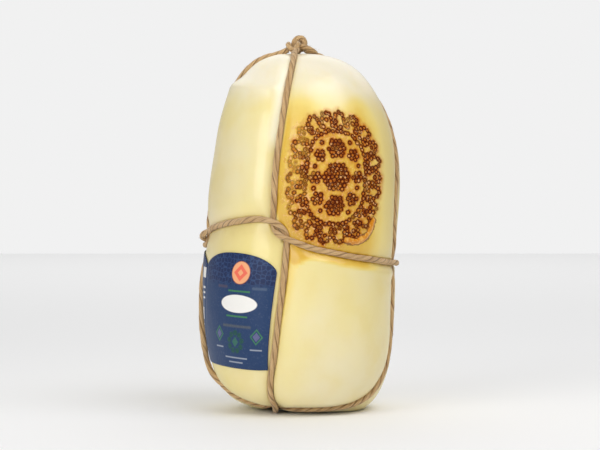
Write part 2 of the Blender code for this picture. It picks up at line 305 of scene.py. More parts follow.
@dataclass
class StringRoutes:
    """Where the strings run, how they cross and the bed they press into the cheese.

    A valley is its depth and its width. The strings settle in a number of turns, and in the
    eased ones they also straighten and are held near their first place.
    """

    form: CheeseForm
    twine_radius: float = 1.85
    rise: float = 0.6
    sink: float = 1.3
    clear: float = 0.45
    over_label: float = 2.8
    floor_gap: float = 0.15
    narrow_valley: Pair = (2.0, 6.5)
    wide_valley: Pair = (1.2, 16.0)
    face_depth: float = 1.9
    brow_height: float = 0.9
    turns: int = 150
    eased_turns: int = 130
    straighten: float = 0.22
    hold: float = 0.10
    own_gap: int = 12
    line_step: float = 2.0
    smooth_turns: int = 3

    @cached_property
    def stations(self) -> dict[Strand, Array]:
        """Lists the places that each string passes.

        Returns:
            Each string's route points, on the plain cheese.
        """
        spot, cap = self.form.spot, self.form.cap
        cradle = [cap(-2, 7), cap(-2, 18)]
        cradle += [spot(*p) for p in (
            (170, 213), (168, 196), (167, 170), (166, 140), (166, 97), (166, 50), (167, 25),
            (169, 8))]
        cradle += [cap(*p, False) for p in (
            (4, 33), (-4, 18), (-10, 2), (-14, -14), (-16, -26))]
        cradle += [spot(*p) for p in (
            (-30, 2), (-26, 7), (-20, 22), (-16, 35), (-12, 60), (-9, 84), (-8, 102),
            (-7.5, 108), (-9, 112), (-12, 115), (-15, 118), (-19, 119), (-24, 120), (-36, 119),
            (-58, 116), (-72, 114), (-82, 112), (-90, 108.5), (-96, 105), (-100, 101),
            (-102, 95), (-101, 84), (-94, 62), (-90, 38), (-87, 26), (-83, 16), (-73, 10),
            (-58, 4.5), (-45, 2), (-31, 1), (-12, 1), (6, 1), (21, 1.2), (36, 2.2), (48, 3.8),
            (61, 7.5), (69, 12), (75, 18), (79, 25), (81.5, 37), (81, 53), (80, 70), (80.5, 83),
            (81.5, 92), (78, 131), (79, 150), (82, 165), (86, 178), (91, 190), (101, 203),
            (115, 212))]
        cradle += [cap(20, 17), cap(13.5, 9.5), cap(8, 1)]
        girdle = [cap(-4, -8), cap(-4, -18)]
        girdle += [spot(*p) for p in (
            (-8, 216), (-12, 196), (-15, 179), (-18, 155), (-18, 143), (-17, 128),
            (-17.5, 119), (-17, 115), (-14, 112), (-11, 109), (-7, 107.5), (-3, 106),
            (2, 104), (9, 101.5), (18, 100), (32, 97), (48, 95), (65, 93), (81.5, 92),
            (98, 91.5), (120, 92), (142, 94), (166, 97), (205, 103.5), (225, 106.5),
            (242, 106.5), (251, 104.5), (258.5, 102), (264.5, 104), (268.5, 107), (269, 111),
            (267, 116), (261.5, 125), (257.5, 140), (257, 160), (259, 180), (268, 203),
            (274, 209.5), (278, 215))]
        girdle += [cap(-20, -4), cap(-13, -2)]
        return {Strand.CRADLE: np.array(cradle), Strand.GIRDLE: np.array(girdle)}

    @cached_property
    def crossings(self) -> tuple[Crossing, ...]:
        """Lists where the strings cross.

        Returns:
            The crossings, with the hooks at the waist as two each.
        """
        spot = self.form.spot
        return (
            Crossing(spot(-18, 119), Lower.GIRDLE, 1.9, 8.0),
            Crossing(spot(-7.5, 107.5), Lower.CRADLE, 1.9, 8.0),
            Crossing(spot(81.5, 92), Lower.CRADLE, 1.9, 9.0),
            Crossing(spot(166, 97), Lower.CRADLE, 1.9, 9.0),
            Crossing(spot(-91, 108.5), Lower.GIRDLE, 5.2, 9.5),
            Crossing(spot(-100.5, 101.5), Lower.CRADLE, 1.6, 8.0),
            Crossing(spot(-29, 1.5), Lower.SECOND_PASS, 1.4, 9.0),
        )

    @cached_property
    def plain(self) -> dict[Strand, tuple[Array, Array]]:
        """Lays each string's line on the plain cheese.

        Returns:
            The points and the outward normals of each line.
        """
        laid = {}
        for strand, route in self.stations.items():
            point, normal = self.form.skin(*self.form.locate(spline(route, self.line_step)))
            for _ in range(self.smooth_turns):
                point[1:-1] = 0.25 * (point[:-2] + point[2:]) + 0.5 * point[1:-1]
                normal[1:-1] = 0.25 * (normal[:-2] + normal[2:]) + 0.5 * normal[1:-1]
            laid[strand] = point, normal / np.linalg.norm(normal, axis=1)[:, None]
        return laid

    def label_cover(self, points: Array) -> Array:
        """Tells where the label lies.

        Args:
            points: Points of the plain cheese.

        Returns:
            1 well inside the label's place and 0 outside, for each point.
        """
        degrees, z = np.degrees(self.form.azimuth(points)), points[:, 2]
        edge = Label.azimuth - math.degrees(Label.side_width / self.form.radius)
        edge = edge + 0.125 * (z - Label.middle_z)
        side = smooth_between(-13, -5, degrees - edge)
        side = side * (1 - smooth_between(-40, -22, degrees))
        return side * smooth_between(13, 25, z) * (1 - smooth_between(88, 100, z))

    def relief(self, points: Array) -> Array:
        """Shapes the cheese round its strings: valleys, a flatter face and a shoulder.

        Args:
            points: Points of the plain cheese.

        Returns:
            How high the cheese stands over each point.
        """
        deep, narrow_width = self.narrow_valley
        shallow, wide_width = self.wide_valley
        narrow = wide = 1.0
        for line, _ in self.plain.values():
            d = foot_on(points, line)[0]
            narrow = narrow * (1 - bell(d, 0.0, narrow_width))
            wide = wide * (1 - bell(d, 0.0, wide_width))
        z = points[:, 2]
        degrees = np.degrees(self.form.azimuth(points))
        crown = 1 - 0.75 * smooth_between(206, 221, z)
        eased = 1 - 0.5 * self.label_cover(points)
        face = bell(degrees, -64.0, 30.0)
        face = face * smooth_between(6, 40, z) * (1 - smooth_between(186, 204, z))
        brow = bell(degrees, -52.0, 26.0) * bell(z, 201.0, 6.0)
        valley = deep * eased * (1 - narrow) + shallow * (1 - wide)
        return self.brow_height * brow - self.face_depth * face - crown * valley

    def _raised(self, strand: Strand) -> Array:
        """Lays a string in its valley, raised or sunk at the crossings.

        Args:
            strand: The string.

        Returns:
            Its centre line.
        """
        line, out = self.plain[strand]
        lift = self.relief(line) + self.rise + self.over_label * self.label_cover(line)
        second = np.arange(len(line)) > len(line) / 2
        for crossing in self.crossings:
            q = np.linalg.norm(line - crossing.place, axis=1) / crossing.reach
            q = np.clip(q, 0.0, 1.0)
            lower = crossing.lower
            under = second if lower is Lower.SECOND_PASS else lower.value == strand.value
            lift += np.where(under, -self.sink, crossing.rise) * (1 - q * q) ** 2
        return line + out * lift[:, None]

    @staticmethod
    def _pushed(first: Array, second: Array, need: float, apart: int = 0) -> Array:
        """Moves a line away from another where they come closer than need.

        Args:
            first: The line that moves.
            second: The line it keeps clear of.
            need: The least distance between them.
            apart: Set when both are one line: points that near along it are left out.

        Returns:
            The moved line.
        """
        d = np.linalg.norm(first[:, None, :] - second[None, :, :], axis=-1)
        if apart:
            i, j = np.indices(d.shape)
            d = np.where(np.abs(i - j) < apart, FAR_AWAY, d)
        j = np.argmin(d, axis=1)
        gap = d[np.arange(len(first)), j]
        away = (first - second[j]) / np.maximum(gap, 1e-6)[:, None]
        return first + away * (0.5 * np.maximum(need - gap, 0.0))[:, None]

    def _eased(self, line: Array, home: Array) -> Array:
        """Pulls a line a little straighter, and back towards its first place.

        Args:
            line: The line.
            home: The line as it was first laid.

        Returns:
            The eased line.
        """
        bend = np.zeros_like(line)
        bend[1:-1] = line[:-2] + line[2:] - 2 * line[1:-1]
        return line + self.straighten * bend + self.hold * (home - line)

    @cached_property
    def settled(self) -> dict[Strand, Array]:
        """Lets the strings ease round each other until they are clear.

        Returns:
            Both centre lines.
        """
        need = 2 * self.twine_radius + self.clear
        start = [self._raised(Strand.CRADLE), self._raised(Strand.GIRDLE)]
        lines = [line.copy() for line in start]
        for turn in range(self.turns):
            if turn < self.eased_turns:
                lines = [self._eased(line, home) for line, home in zip(lines, start)]
            a, b = lines
            lines = [self._pushed(a, b, need), self._pushed(b, a, need)]
            lines[0] = self._pushed(lines[0], lines[0], need, self.own_gap)
            for p in lines:
                p[:, 2] = np.maximum(p[:, 2], self.twine_radius + self.floor_gap)
        return dict(zip((Strand.CRADLE, Strand.GIRDLE), lines))


# ---------------------------------------------------------------------------------------
# Mesh and shader helpers
# ---------------------------------------------------------------------------------------


def deselect_all() -> None:
    """Leaves object mode with nothing selected."""
    if bpy.context.mode != "OBJECT":
        bpy.ops.object.mode_set(mode="OBJECT")
    bpy.ops.object.select_all(action="DESELECT")


def coordinates(mesh: bpy.types.Mesh) -> Array:
    """Reads the places of a mesh's points.

    Args:
        mesh: The mesh.

    Returns:
        One row for each point.
    """
    co = np.empty(len(mesh.vertices) * 3, np.float32)
    mesh.vertices.foreach_get("co", co)
    return co.reshape(-1, 3).astype(float)


def move_points(mesh: bpy.types.Mesh, places: Array) -> None:
    """Puts every point of a mesh at its new place, given in millimetres."""
    mesh.vertices.foreach_set("co", (places * MM).astype(np.float32).ravel())
    mesh.update()


def give_values(mesh: bpy.types.Mesh, name: str, values: Array) -> None:
    """Stores something for each point of a mesh, for its material to read.

    Args:
        mesh: The mesh.
        name: The name to store it under.
        values: A number or a vector for each point.
    """
    kind, key = ("FLOAT", "value") if values.ndim == 1 else ("FLOAT_VECTOR", "vector")
    layer = mesh.attributes.new(name, kind, "POINT")
    layer.data.foreach_set(key, values.astype(np.float32).ravel())


def fit_out(piece: bpy.types.Object, node: str) -> None:
    """Sets a finished piece on the body, in place of its solid.

    Args:
        piece: The finished piece.
        node: The solid that it replaces.
    """
    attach(piece, BODY)
    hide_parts(node)
    log.info("%s: %d faces", piece.name, len(piece.data.polygons))


class Graph:
    """Builds the nodes of one material or of one node group."""

    def __init__(self, tree: bpy.types.NodeTree) -> None:
        """Keeps the tree that the nodes go into."""
        self.tree = tree

    def add(self, kind: str, **values: Any) -> bpy.types.Node:
        """Adds a node.

        Args:
            kind: The node's type.
            **values: The node's own properties.

        Returns:
            The new node.
        """
        node = self.tree.nodes.new(kind)
        for name, value in values.items():
            setattr(node, name, value)
        return node

    def feed(self, socket: Socket, value: Any) -> None:
        """Links a socket to an input, or sets the input to a plain value.

        Args:
            socket: The input.
            value: The socket or the plain value.
        """
        if isinstance(value, bpy.types.NodeSocket):
            self.tree.links.new(value, socket)
        else:
            socket.default_value = value

    def math(self, operation: str, first: Any, second: Any = 0.0, clamp: bool = False) -> Socket:
        """Does one step of arithmetic.

        Args:
            operation: The operation's name.
            first: A number or a socket.
            second: Another one, where the operation takes two.
            clamp: Whether to keep the result from 0 to 1.

        Returns:
            The result.
        """
        node = self.add("ShaderNodeMath", operation=operation, use_clamp=clamp)
        self.feed(node.inputs[0], first)
        self.feed(node.inputs[1], second)
        return node.outputs[0]

    def times(self, first: Any, *others: Any) -> Socket:
        """Multiplies numbers or sockets.

        Args:
            first: The first factor.
            *others: The other factors.

        Returns:
            The product.
        """
        for other in others:
            first = self.math("MULTIPLY", first, other)
        return first

    def without(self, mask: Any) -> Socket:
        """1 where a mask is 0, and 0 where it is 1."""
        return self.math("SUBTRACT", 1.0, mask)

    def swing(self, value: Any, size: float) -> Socket:
        """A soft noise set round 0, this wide from end to end."""
        return self.times(self.math("SUBTRACT", value, 0.5), size)

    def ease(self, low: float, high: float, value: Any) -> Socket:
        """Turns a value into a mask.

        Args:
            low: Where the mask is 0.
            high: Where it is 1, above low or below it.
            value: The value.

        Returns:
            The mask, eased between.
        """
        node = self.add("ShaderNodeMapRange", interpolation_type="SMOOTHSTEP")
        for name, number in (("Value", value), ("From Min", low), ("From Max", high)):
            self.feed(node.inputs[name], number)
        return node.outputs[0]

    def band(self, value: Any, middle: float, inner: float, outer: float) -> Socket:
        """Masks where a value is close to a middle one.

        Args:
            value: The value.
            middle: The middle.
            inner: How far from it the mask begins to fall.
            outer: How far from it the mask is 0.

        Returns:
            The mask.
        """
        off = self.math("ABSOLUTE", self.math("SUBTRACT", value, middle))
        return self.without(self.ease(inner, outer, off))

    def mix(self, factor: Any, first: Any, second: Any) -> Socket:
        """Blends two colours.

        Args:
            factor: 0 for the first, 1 for the second.
            first: A colour or a socket.
            second: Another one.

        Returns:
            The blend.
        """
        node = self.add("ShaderNodeMix", data_type="RGBA")
        self.feed(node.inputs[0], factor)
        self.feed(node.inputs[6], first)
        self.feed(node.inputs[7], second)
        return node.outputs[2]

    def tint(self, colour: Any, ink: Any, mask: Socket, share: float = 1.0) -> Socket:
        """Lays another colour over one where a mask is.

        Args:
            colour: The colour below.
            ink: The colour that is laid over it.
            mask: Where it goes.
            share: How much of it covers where the mask is 1.

        Returns:
            The tinted colour.
        """
        return self.mix(mask if share == 1.0 else self.times(mask, share), colour, ink)

    def ramp(self, value: Any, stops: Iterable[tuple[float, Colour]]) -> Socket:
        """Turns a number into a colour.

        Args:
            value: The number.
            stops: Numbers in rising order, and the colour at each.

        Returns:
            The colour.
        """
        node = self.add("ShaderNodeValToRGB")
        self.feed(node.inputs[0], value)
        elements = node.color_ramp.elements
        for k, (place, colour) in enumerate(stops):
            stop = elements[k] if k < 2 else elements.new(place)
            stop.position, stop.color = place, colour
        return node.outputs[0]

    def attribute(self, name: str, output: str = "Fac") -> Socket:
        """Reads what a mesh holds for each of its points."""
        return self.add("ShaderNodeAttribute", attribute_name=name).outputs[output]

    def place(self) -> Socket:
        """The object's own coordinates."""
        return self.add("ShaderNodeTexCoord").outputs["Object"]

    def noise(self, where: Socket, scale: float, detail: float = 2.0) -> Socket:
        """Makes a soft noise.

        Args:
            where: The place.
            scale: How fine it is.
            detail: How many finer layers it holds.

        Returns:
            The noise, from 0 to 1.
        """
        node = self.add("ShaderNodeTexNoise")
        self.feed(node.inputs["Vector"], where)
        node.inputs["Scale"].default_value = scale
        node.inputs["Detail"].default_value = detail
        return node.outputs["Fac"]

    def stretch(self, where: Socket, scale: Triple) -> Socket:
        """Scales a place.

        Args:
            where: The place.
            scale: The amount along each axis.

        Returns:
            The scaled place.
        """
        node = self.add("ShaderNodeMapping")
        self.feed(node.inputs["Vector"], where)
        node.inputs["Scale"].default_value = scale
        return node.outputs[0]

    def split(self, where: Socket) -> tuple[Socket, Socket, Socket]:
        """Takes a place apart.

        Args:
            where: The place.

        Returns:
            Its three numbers.
        """
        node = self.add("ShaderNodeSeparateXYZ")
        self.feed(node.inputs[0], where)
        return node.outputs[0], node.outputs[1], node.outputs[2]

    def bump(self, height: Any, distance: float, strength: float = 1.0) -> Socket:
        """Makes a normal that shows a height.

        Args:
            height: The height, from 0 to 1.
            distance: What a height of 1 stands for, in metres.
            strength: How much of it shows.

        Returns:
            The normal.
        """
        node = self.add("ShaderNodeBump")
        node.inputs["Strength"].default_value = strength
        node.inputs["Distance"].default_value = distance
        self.feed(node.inputs["Height"], height)
        return node.outputs[0]


def speckle_group() -> bpy.types.NodeTree:
    """The shared effect: small irregular specks.

    Returns:
        A node group that takes a place, a scale and two limits, and puts out a mask and a
        soft value from 0 to 1.
    """
    group = bpy.data.node_groups.new("specks", "ShaderNodeTree")
    face = group.interface
    face.new_socket("Place", in_out="INPUT", socket_type="NodeSocketVector")
    for name, value in (("Scale", 200.0), ("Low", 0.55), ("High", 0.75)):
        face.new_socket(name, in_out="INPUT", socket_type="NodeSocketFloat").default_value = value
    face.new_socket("Mask", in_out="OUTPUT", socket_type="NodeSocketFloat")
    face.new_socket("Soft", in_out="OUTPUT", socket_type="NodeSocketFloat")
    graph = Graph(group)
    source, sink = graph.add("NodeGroupInput"), graph.add("NodeGroupOutput")
    grain = graph.add("ShaderNodeTexNoise")
    grain.inputs["Detail"].default_value = 3.0
    graph.feed(grain.inputs["Vector"], source.outputs["Place"])
    graph.feed(grain.inputs["Scale"], source.outputs["Scale"])
    mask = graph.add("ShaderNodeMapRange", interpolation_type="SMOOTHSTEP")
    graph.feed(mask.inputs["Value"], grain.outputs["Fac"])
    graph.feed(mask.inputs["From Min"], source.outputs["Low"])
    graph.feed(mask.inputs["From Max"], source.outputs["High"])
    graph.feed(sink.inputs["Mask"], mask.outputs[0])
    graph.feed(sink.inputs["Soft"], grain.outputs["Fac"])
    return group


def specks(graph: Graph, where: Socket, scale: float, low: float, high: float) -> bpy.types.Node:
    """Places the shared specks in a material with its own values.

    Args:
        graph: The material's nodes.
        where: The place.
        scale: How fine the specks are.
        low: The soft value at which the mask is 0.
        high: The soft value at which it is 1.

    Returns:
        The group's node, which puts out Mask and Soft.
    """
    node = graph.add("ShaderNodeGroup")
    node.node_tree = bpy.data.node_groups.get("specks") or speckle_group()
    graph.feed(node.inputs["Place"], where)
    give_constants(node, {"Scale": scale, "Low": low, "High": high})
    return node


def give_constants(node: bpy.types.Node, values: dict[str, Any]) -> None:
    """Sets inputs of a node that are the same all over."""
    for name, value in values.items():
        node.inputs[name].default_value = value


def new_material(name: str) -> tuple[bpy.types.Material, Graph, bpy.types.Node]:
    """Starts a material.

    Args:
        name: Its name.

    Returns:
        The material, its graph and its main shader.
    """
    material = bpy.data.materials.new(name)
    material.use_nodes = True
    return material, Graph(material.node_tree), material.node_tree.nodes["Principled BSDF"]


# ---------------------------------------------------------------------------------------
# The burnt pattern
# ---------------------------------------------------------------------------------------


@dataclass
class BurntMark:
    """Rings burnt into the cheese's right front: an oval garland of arches round rosettes.

    The pattern is laid out on a plane (a, b). Here a is halfway between the length round
    the cheese and the straight sideways distance, 0 at the front, and b is the height.
    """

    form: CheeseForm
    middle: Pair = (19.6, 144.8)
    garland: Pair = (25.4, 34.4)
    hoop: Pair = (19.0, 27.9)
    squareness: float = 2.6
    pitch: float = 2.62
    ring_radius: float = 1.14
    arch_pitch: float = 9.4
    place_noise: float = 0.28
    radius_noise: float = 0.09
    heat_noise: float = 0.12
    far: float = 9.0
    front_y: float = 5.0
    row_pitch: float = 0.87
    oval_points: int = 721
    seed: int = 7

    def flat(self, points: Array) -> Array:
        """Lays points of the cheese out on the pattern's plane.

        Args:
            points: The points.

        Returns:
            Their (a, b).
        """
        turn = self.form.azimuth(points)
        a = 0.5 * self.form.radius * (turn + np.sin(turn))
        return np.stack([a, points[:, 2]], -1)

    def _oval(self, size: Pair, step: float) -> tuple[Array, Array]:
        """Goes round a squarish oval, closed.

        Args:
            size: Half its width and half its height.
            step: The spacing of the places.

        Returns:
            The places, and the outward directions there.
        """
        turn = np.linspace(0.0, 2 * math.pi, self.oval_points)
        sin, cos = np.sin(turn), np.cos(turn)
        a = self.middle[0] + size[0] * np.sign(sin) * np.abs(sin) ** (2 / self.squareness)
        b = self.middle[1] - size[1] * np.sign(cos) * np.abs(cos) ** (2 / self.squareness)
        line = evenly(np.column_stack([a, b, 0 * a]), step)[:-1, :2]
        along = np.roll(line, -1, axis=0) - np.roll(line, 1, axis=0)
        along /= np.linalg.norm(along, axis=1)[:, None]
        return line, np.column_stack([along[:, 1], -along[:, 0]])

    def _garland(self) -> list[Array]:
        """Sets small arches outwards round the oval, every other one with a bud.

        Returns:
            The middles of its rings.
        """
        step = 0.25
        line, out = self._oval(self.garland, step)
        count = 2 * round(len(line) * step / self.arch_pitch / 2)
        spots = []
        for number in range(count):
            k = round((number + 0.5) * len(line) / count) % len(line)
            along = np.array([-out[k][1], out[k][0]])
            feet = [(-3.1, -1.3), (3.1, -1.3), (-3.0, -3.6), (3.0, -3.6)]
            feet += [(0.0, 0.5)] if number % 2 else [(0.0, -3.9)]
            for degrees in (0, 45, 90, 135, 180):
                turn = math.radians(degrees)
                feet.append((3.1 * math.cos(turn), 3.3 * math.sin(turn) + 1.4))
            spots += [line[k] + along * x + out[k] * y for x, y in feet]
        return spots

    def _rosette(self, across: float, up: float, shells: int) -> list[Array]:
        """Packs a hexagonal flower of rings.

        Args:
            across: How far it lies right of the pattern's middle.
            up: How far it lies above it.
            shells: The number of shells round its middle ring.

        Returns:
            The middles of its rings.
        """
        spots = []
        for j in range(-shells, shells + 1):
            width = 2 * shells + 1 - abs(j)
            for i in range(width):
                right, high = (i - (width - 1) / 2) * self.pitch, j * self.pitch * self.row_pitch
                spots.append(np.array(self.middle) + (across + right, up + high))
        return spots

    @cached_property
    def rings(self) -> Array:
        """Lays out the whole pattern, a little unevenly.

        Returns:
            Rows of (a, b, radius, heat), one for each burnt ring.
        """
        spots = self._garland() + list(self._oval(self.hoop, self.pitch)[0])
        spots += self._rosette(0.0, 0.0, 3)
        for side in (-1, 1):
            spots += self._rosette(0.0, 17.2 * side, 2) + self._rosette(13.2 * side, 0.0, 1)
            for level in (-1, 1):
                spots += self._rosette(10.7 * side, 13.0 * level, 1)
                spots += self._rosette(8.8 * side, 20.6 * level, 0)
                spots += self._rosette(13.6 * side, 6.6 * level, 0)
        rng = np.random.default_rng(self.seed)
        table = np.array(spots) + rng.normal(0.0, self.place_noise, (len(spots), 2))
        radius = self.ring_radius + rng.normal(0.0, self.radius_noise, len(table))
        a, b = (table - self.middle).T
        heat = 0.52 + 0.48 * smooth_between(-30.0, -12.0, a) + 0.10 * bell(a, 0.0, 11.0)
        heat -= 0.16 * smooth_between(20.0, 34.0, b) + 0.10 * smooth_between(-20.0, -34.0, b)
        heat += 0.16 * np.sin(0.31 * a + 1.3) * np.sin(0.23 * b) + rng.normal(
            0.0, self.heat_noise, len(a))
        return np.column_stack([table, radius, np.clip(heat, 0.35, 1.0)])

    def _close(self, points: Array, low: Pair, high: Pair) -> Array:
        """Picks the points of the cheese's front that lie in a box of the pattern's plane.

        Args:
            points: Points of the plain cheese.
            low: The box's lower left corner.
            high: Its upper right corner.

        Returns:
            The numbers of the points.
        """
        inside = (self.flat(points) > low) & (self.flat(points) < high)
        return np.flatnonzero(inside.all(axis=1) & (points[:, 1] < self.front_y))

    def on_points(self, points: Array) -> tuple[Array, Array]:
        """Measures points of the cheese against the rings.

        Args:
            points: Points of the plain cheese.

        Returns:
            The distance from the nearest ring's middle for a ring of radius 1, and that
            ring's heat.
        """
        ab = self.flat(points)
        reach, heat = np.full(len(ab), self.far), np.zeros(len(ab))
        near = self._close(points, (-18.0, 98.0), (62.0, 190.0))
        rings = self.rings
        for start in range(0, len(near), ROWS_AT_ONCE):
            some = near[start:start + ROWS_AT_ONCE]
            d = np.hypot(ab[some, 0][:, None] - rings[:, 0], ab[some, 1][:, None] - rings[:, 1])
            d = d / rings[:, 2]
            k = np.argmin(d, axis=1)
            reach[some] = np.minimum(d[np.arange(len(some)), k], self.far)
            heat[some] = rings[k, 3]
        return reach, heat

    def scorch(self, points: Array) -> Array:
        """Tells how far warmth has turned the cheese golden.

        Args:
            points: Points of the plain cheese.

        Returns:
            From 0 to 1, for each point.
        """
        a, b = self.flat(points).T
        strand = np.interp(b, (60, 84, 104, 131, 150, 172, 190),
                           (-14.5, -11.0, -9.5, -19.0, -18.5, -14.5, -11.0))
        left = smooth_between(-1.5, 1.5, a - strand)
        right = 1 - 0.75 * smooth_between(38.0, 56.0, a) - 0.25 * smooth_between(50.0, 74.0, a)
        # The top edge dips near a = 21 mm, leaving paler skin there for the painted crown
        # highlight.
        top = 1 - smooth_between(174.0, 204.0, b + 9.0 * bell(a, 21.0, 13.0))
        waist = np.interp(a, (-8, 10, 30, 50), (106.0, 102.0, 97.5, 94.5))
        low = smooth_between(-8.5, -3.5, b - waist + 7.0 * bell(a, -4.0, 7.0))
        level = 0.50 + 0.12 * (1 - smooth_between(104.0, 150.0, b))
        line = np.interp(b, (0, 35, 60, 84, 102), (-20.0, -17.2, -13.0, -9.8, -8.6))
        beside = np.exp(-np.maximum(a - line, 0.0) / 4.6) * smooth_between(0.0, 1.2, a - line)
        beside = beside * (0.16 + 0.6 * smooth_between(40.0, 100.0, b))
        beside = beside * (1 - smooth_between(100.0, 106.0, b)) * smooth_between(8.0, 30.0, b)
        wide = level * left * right * top * low
        return (points[:, 1] < 15.0) * np.clip(np.maximum(wide, beside), 0.0, 1.0)

    def lip(self, points: Array) -> Array:
        """Measures how far off the melted lip at the pattern's lower right is.

        Args:
            points: Points of the plain cheese.

        Returns:
            The distances in millimetres.
        """
        ab = np.column_stack([self.flat(points), np.zeros(len(points))])
        path = spline(np.array([(29.0, 107.2, 0.0), (34.5, 106.2, 0.0), (40.0, 107.8, 0.0),
                                (44.0, 112.2, 0.0), (46.0, 118.6, 0.0)]), 0.5)
        reach = np.full(len(points), self.far)
        near = self._close(points, (16.0, 94.0), (56.0, 126.0))
        reach[near] = np.minimum(foot_on(ab[near], path)[0], self.far)
        return reach


# ---------------------------------------------------------------------------------------
# The cheese
# ---------------------------------------------------------------------------------------


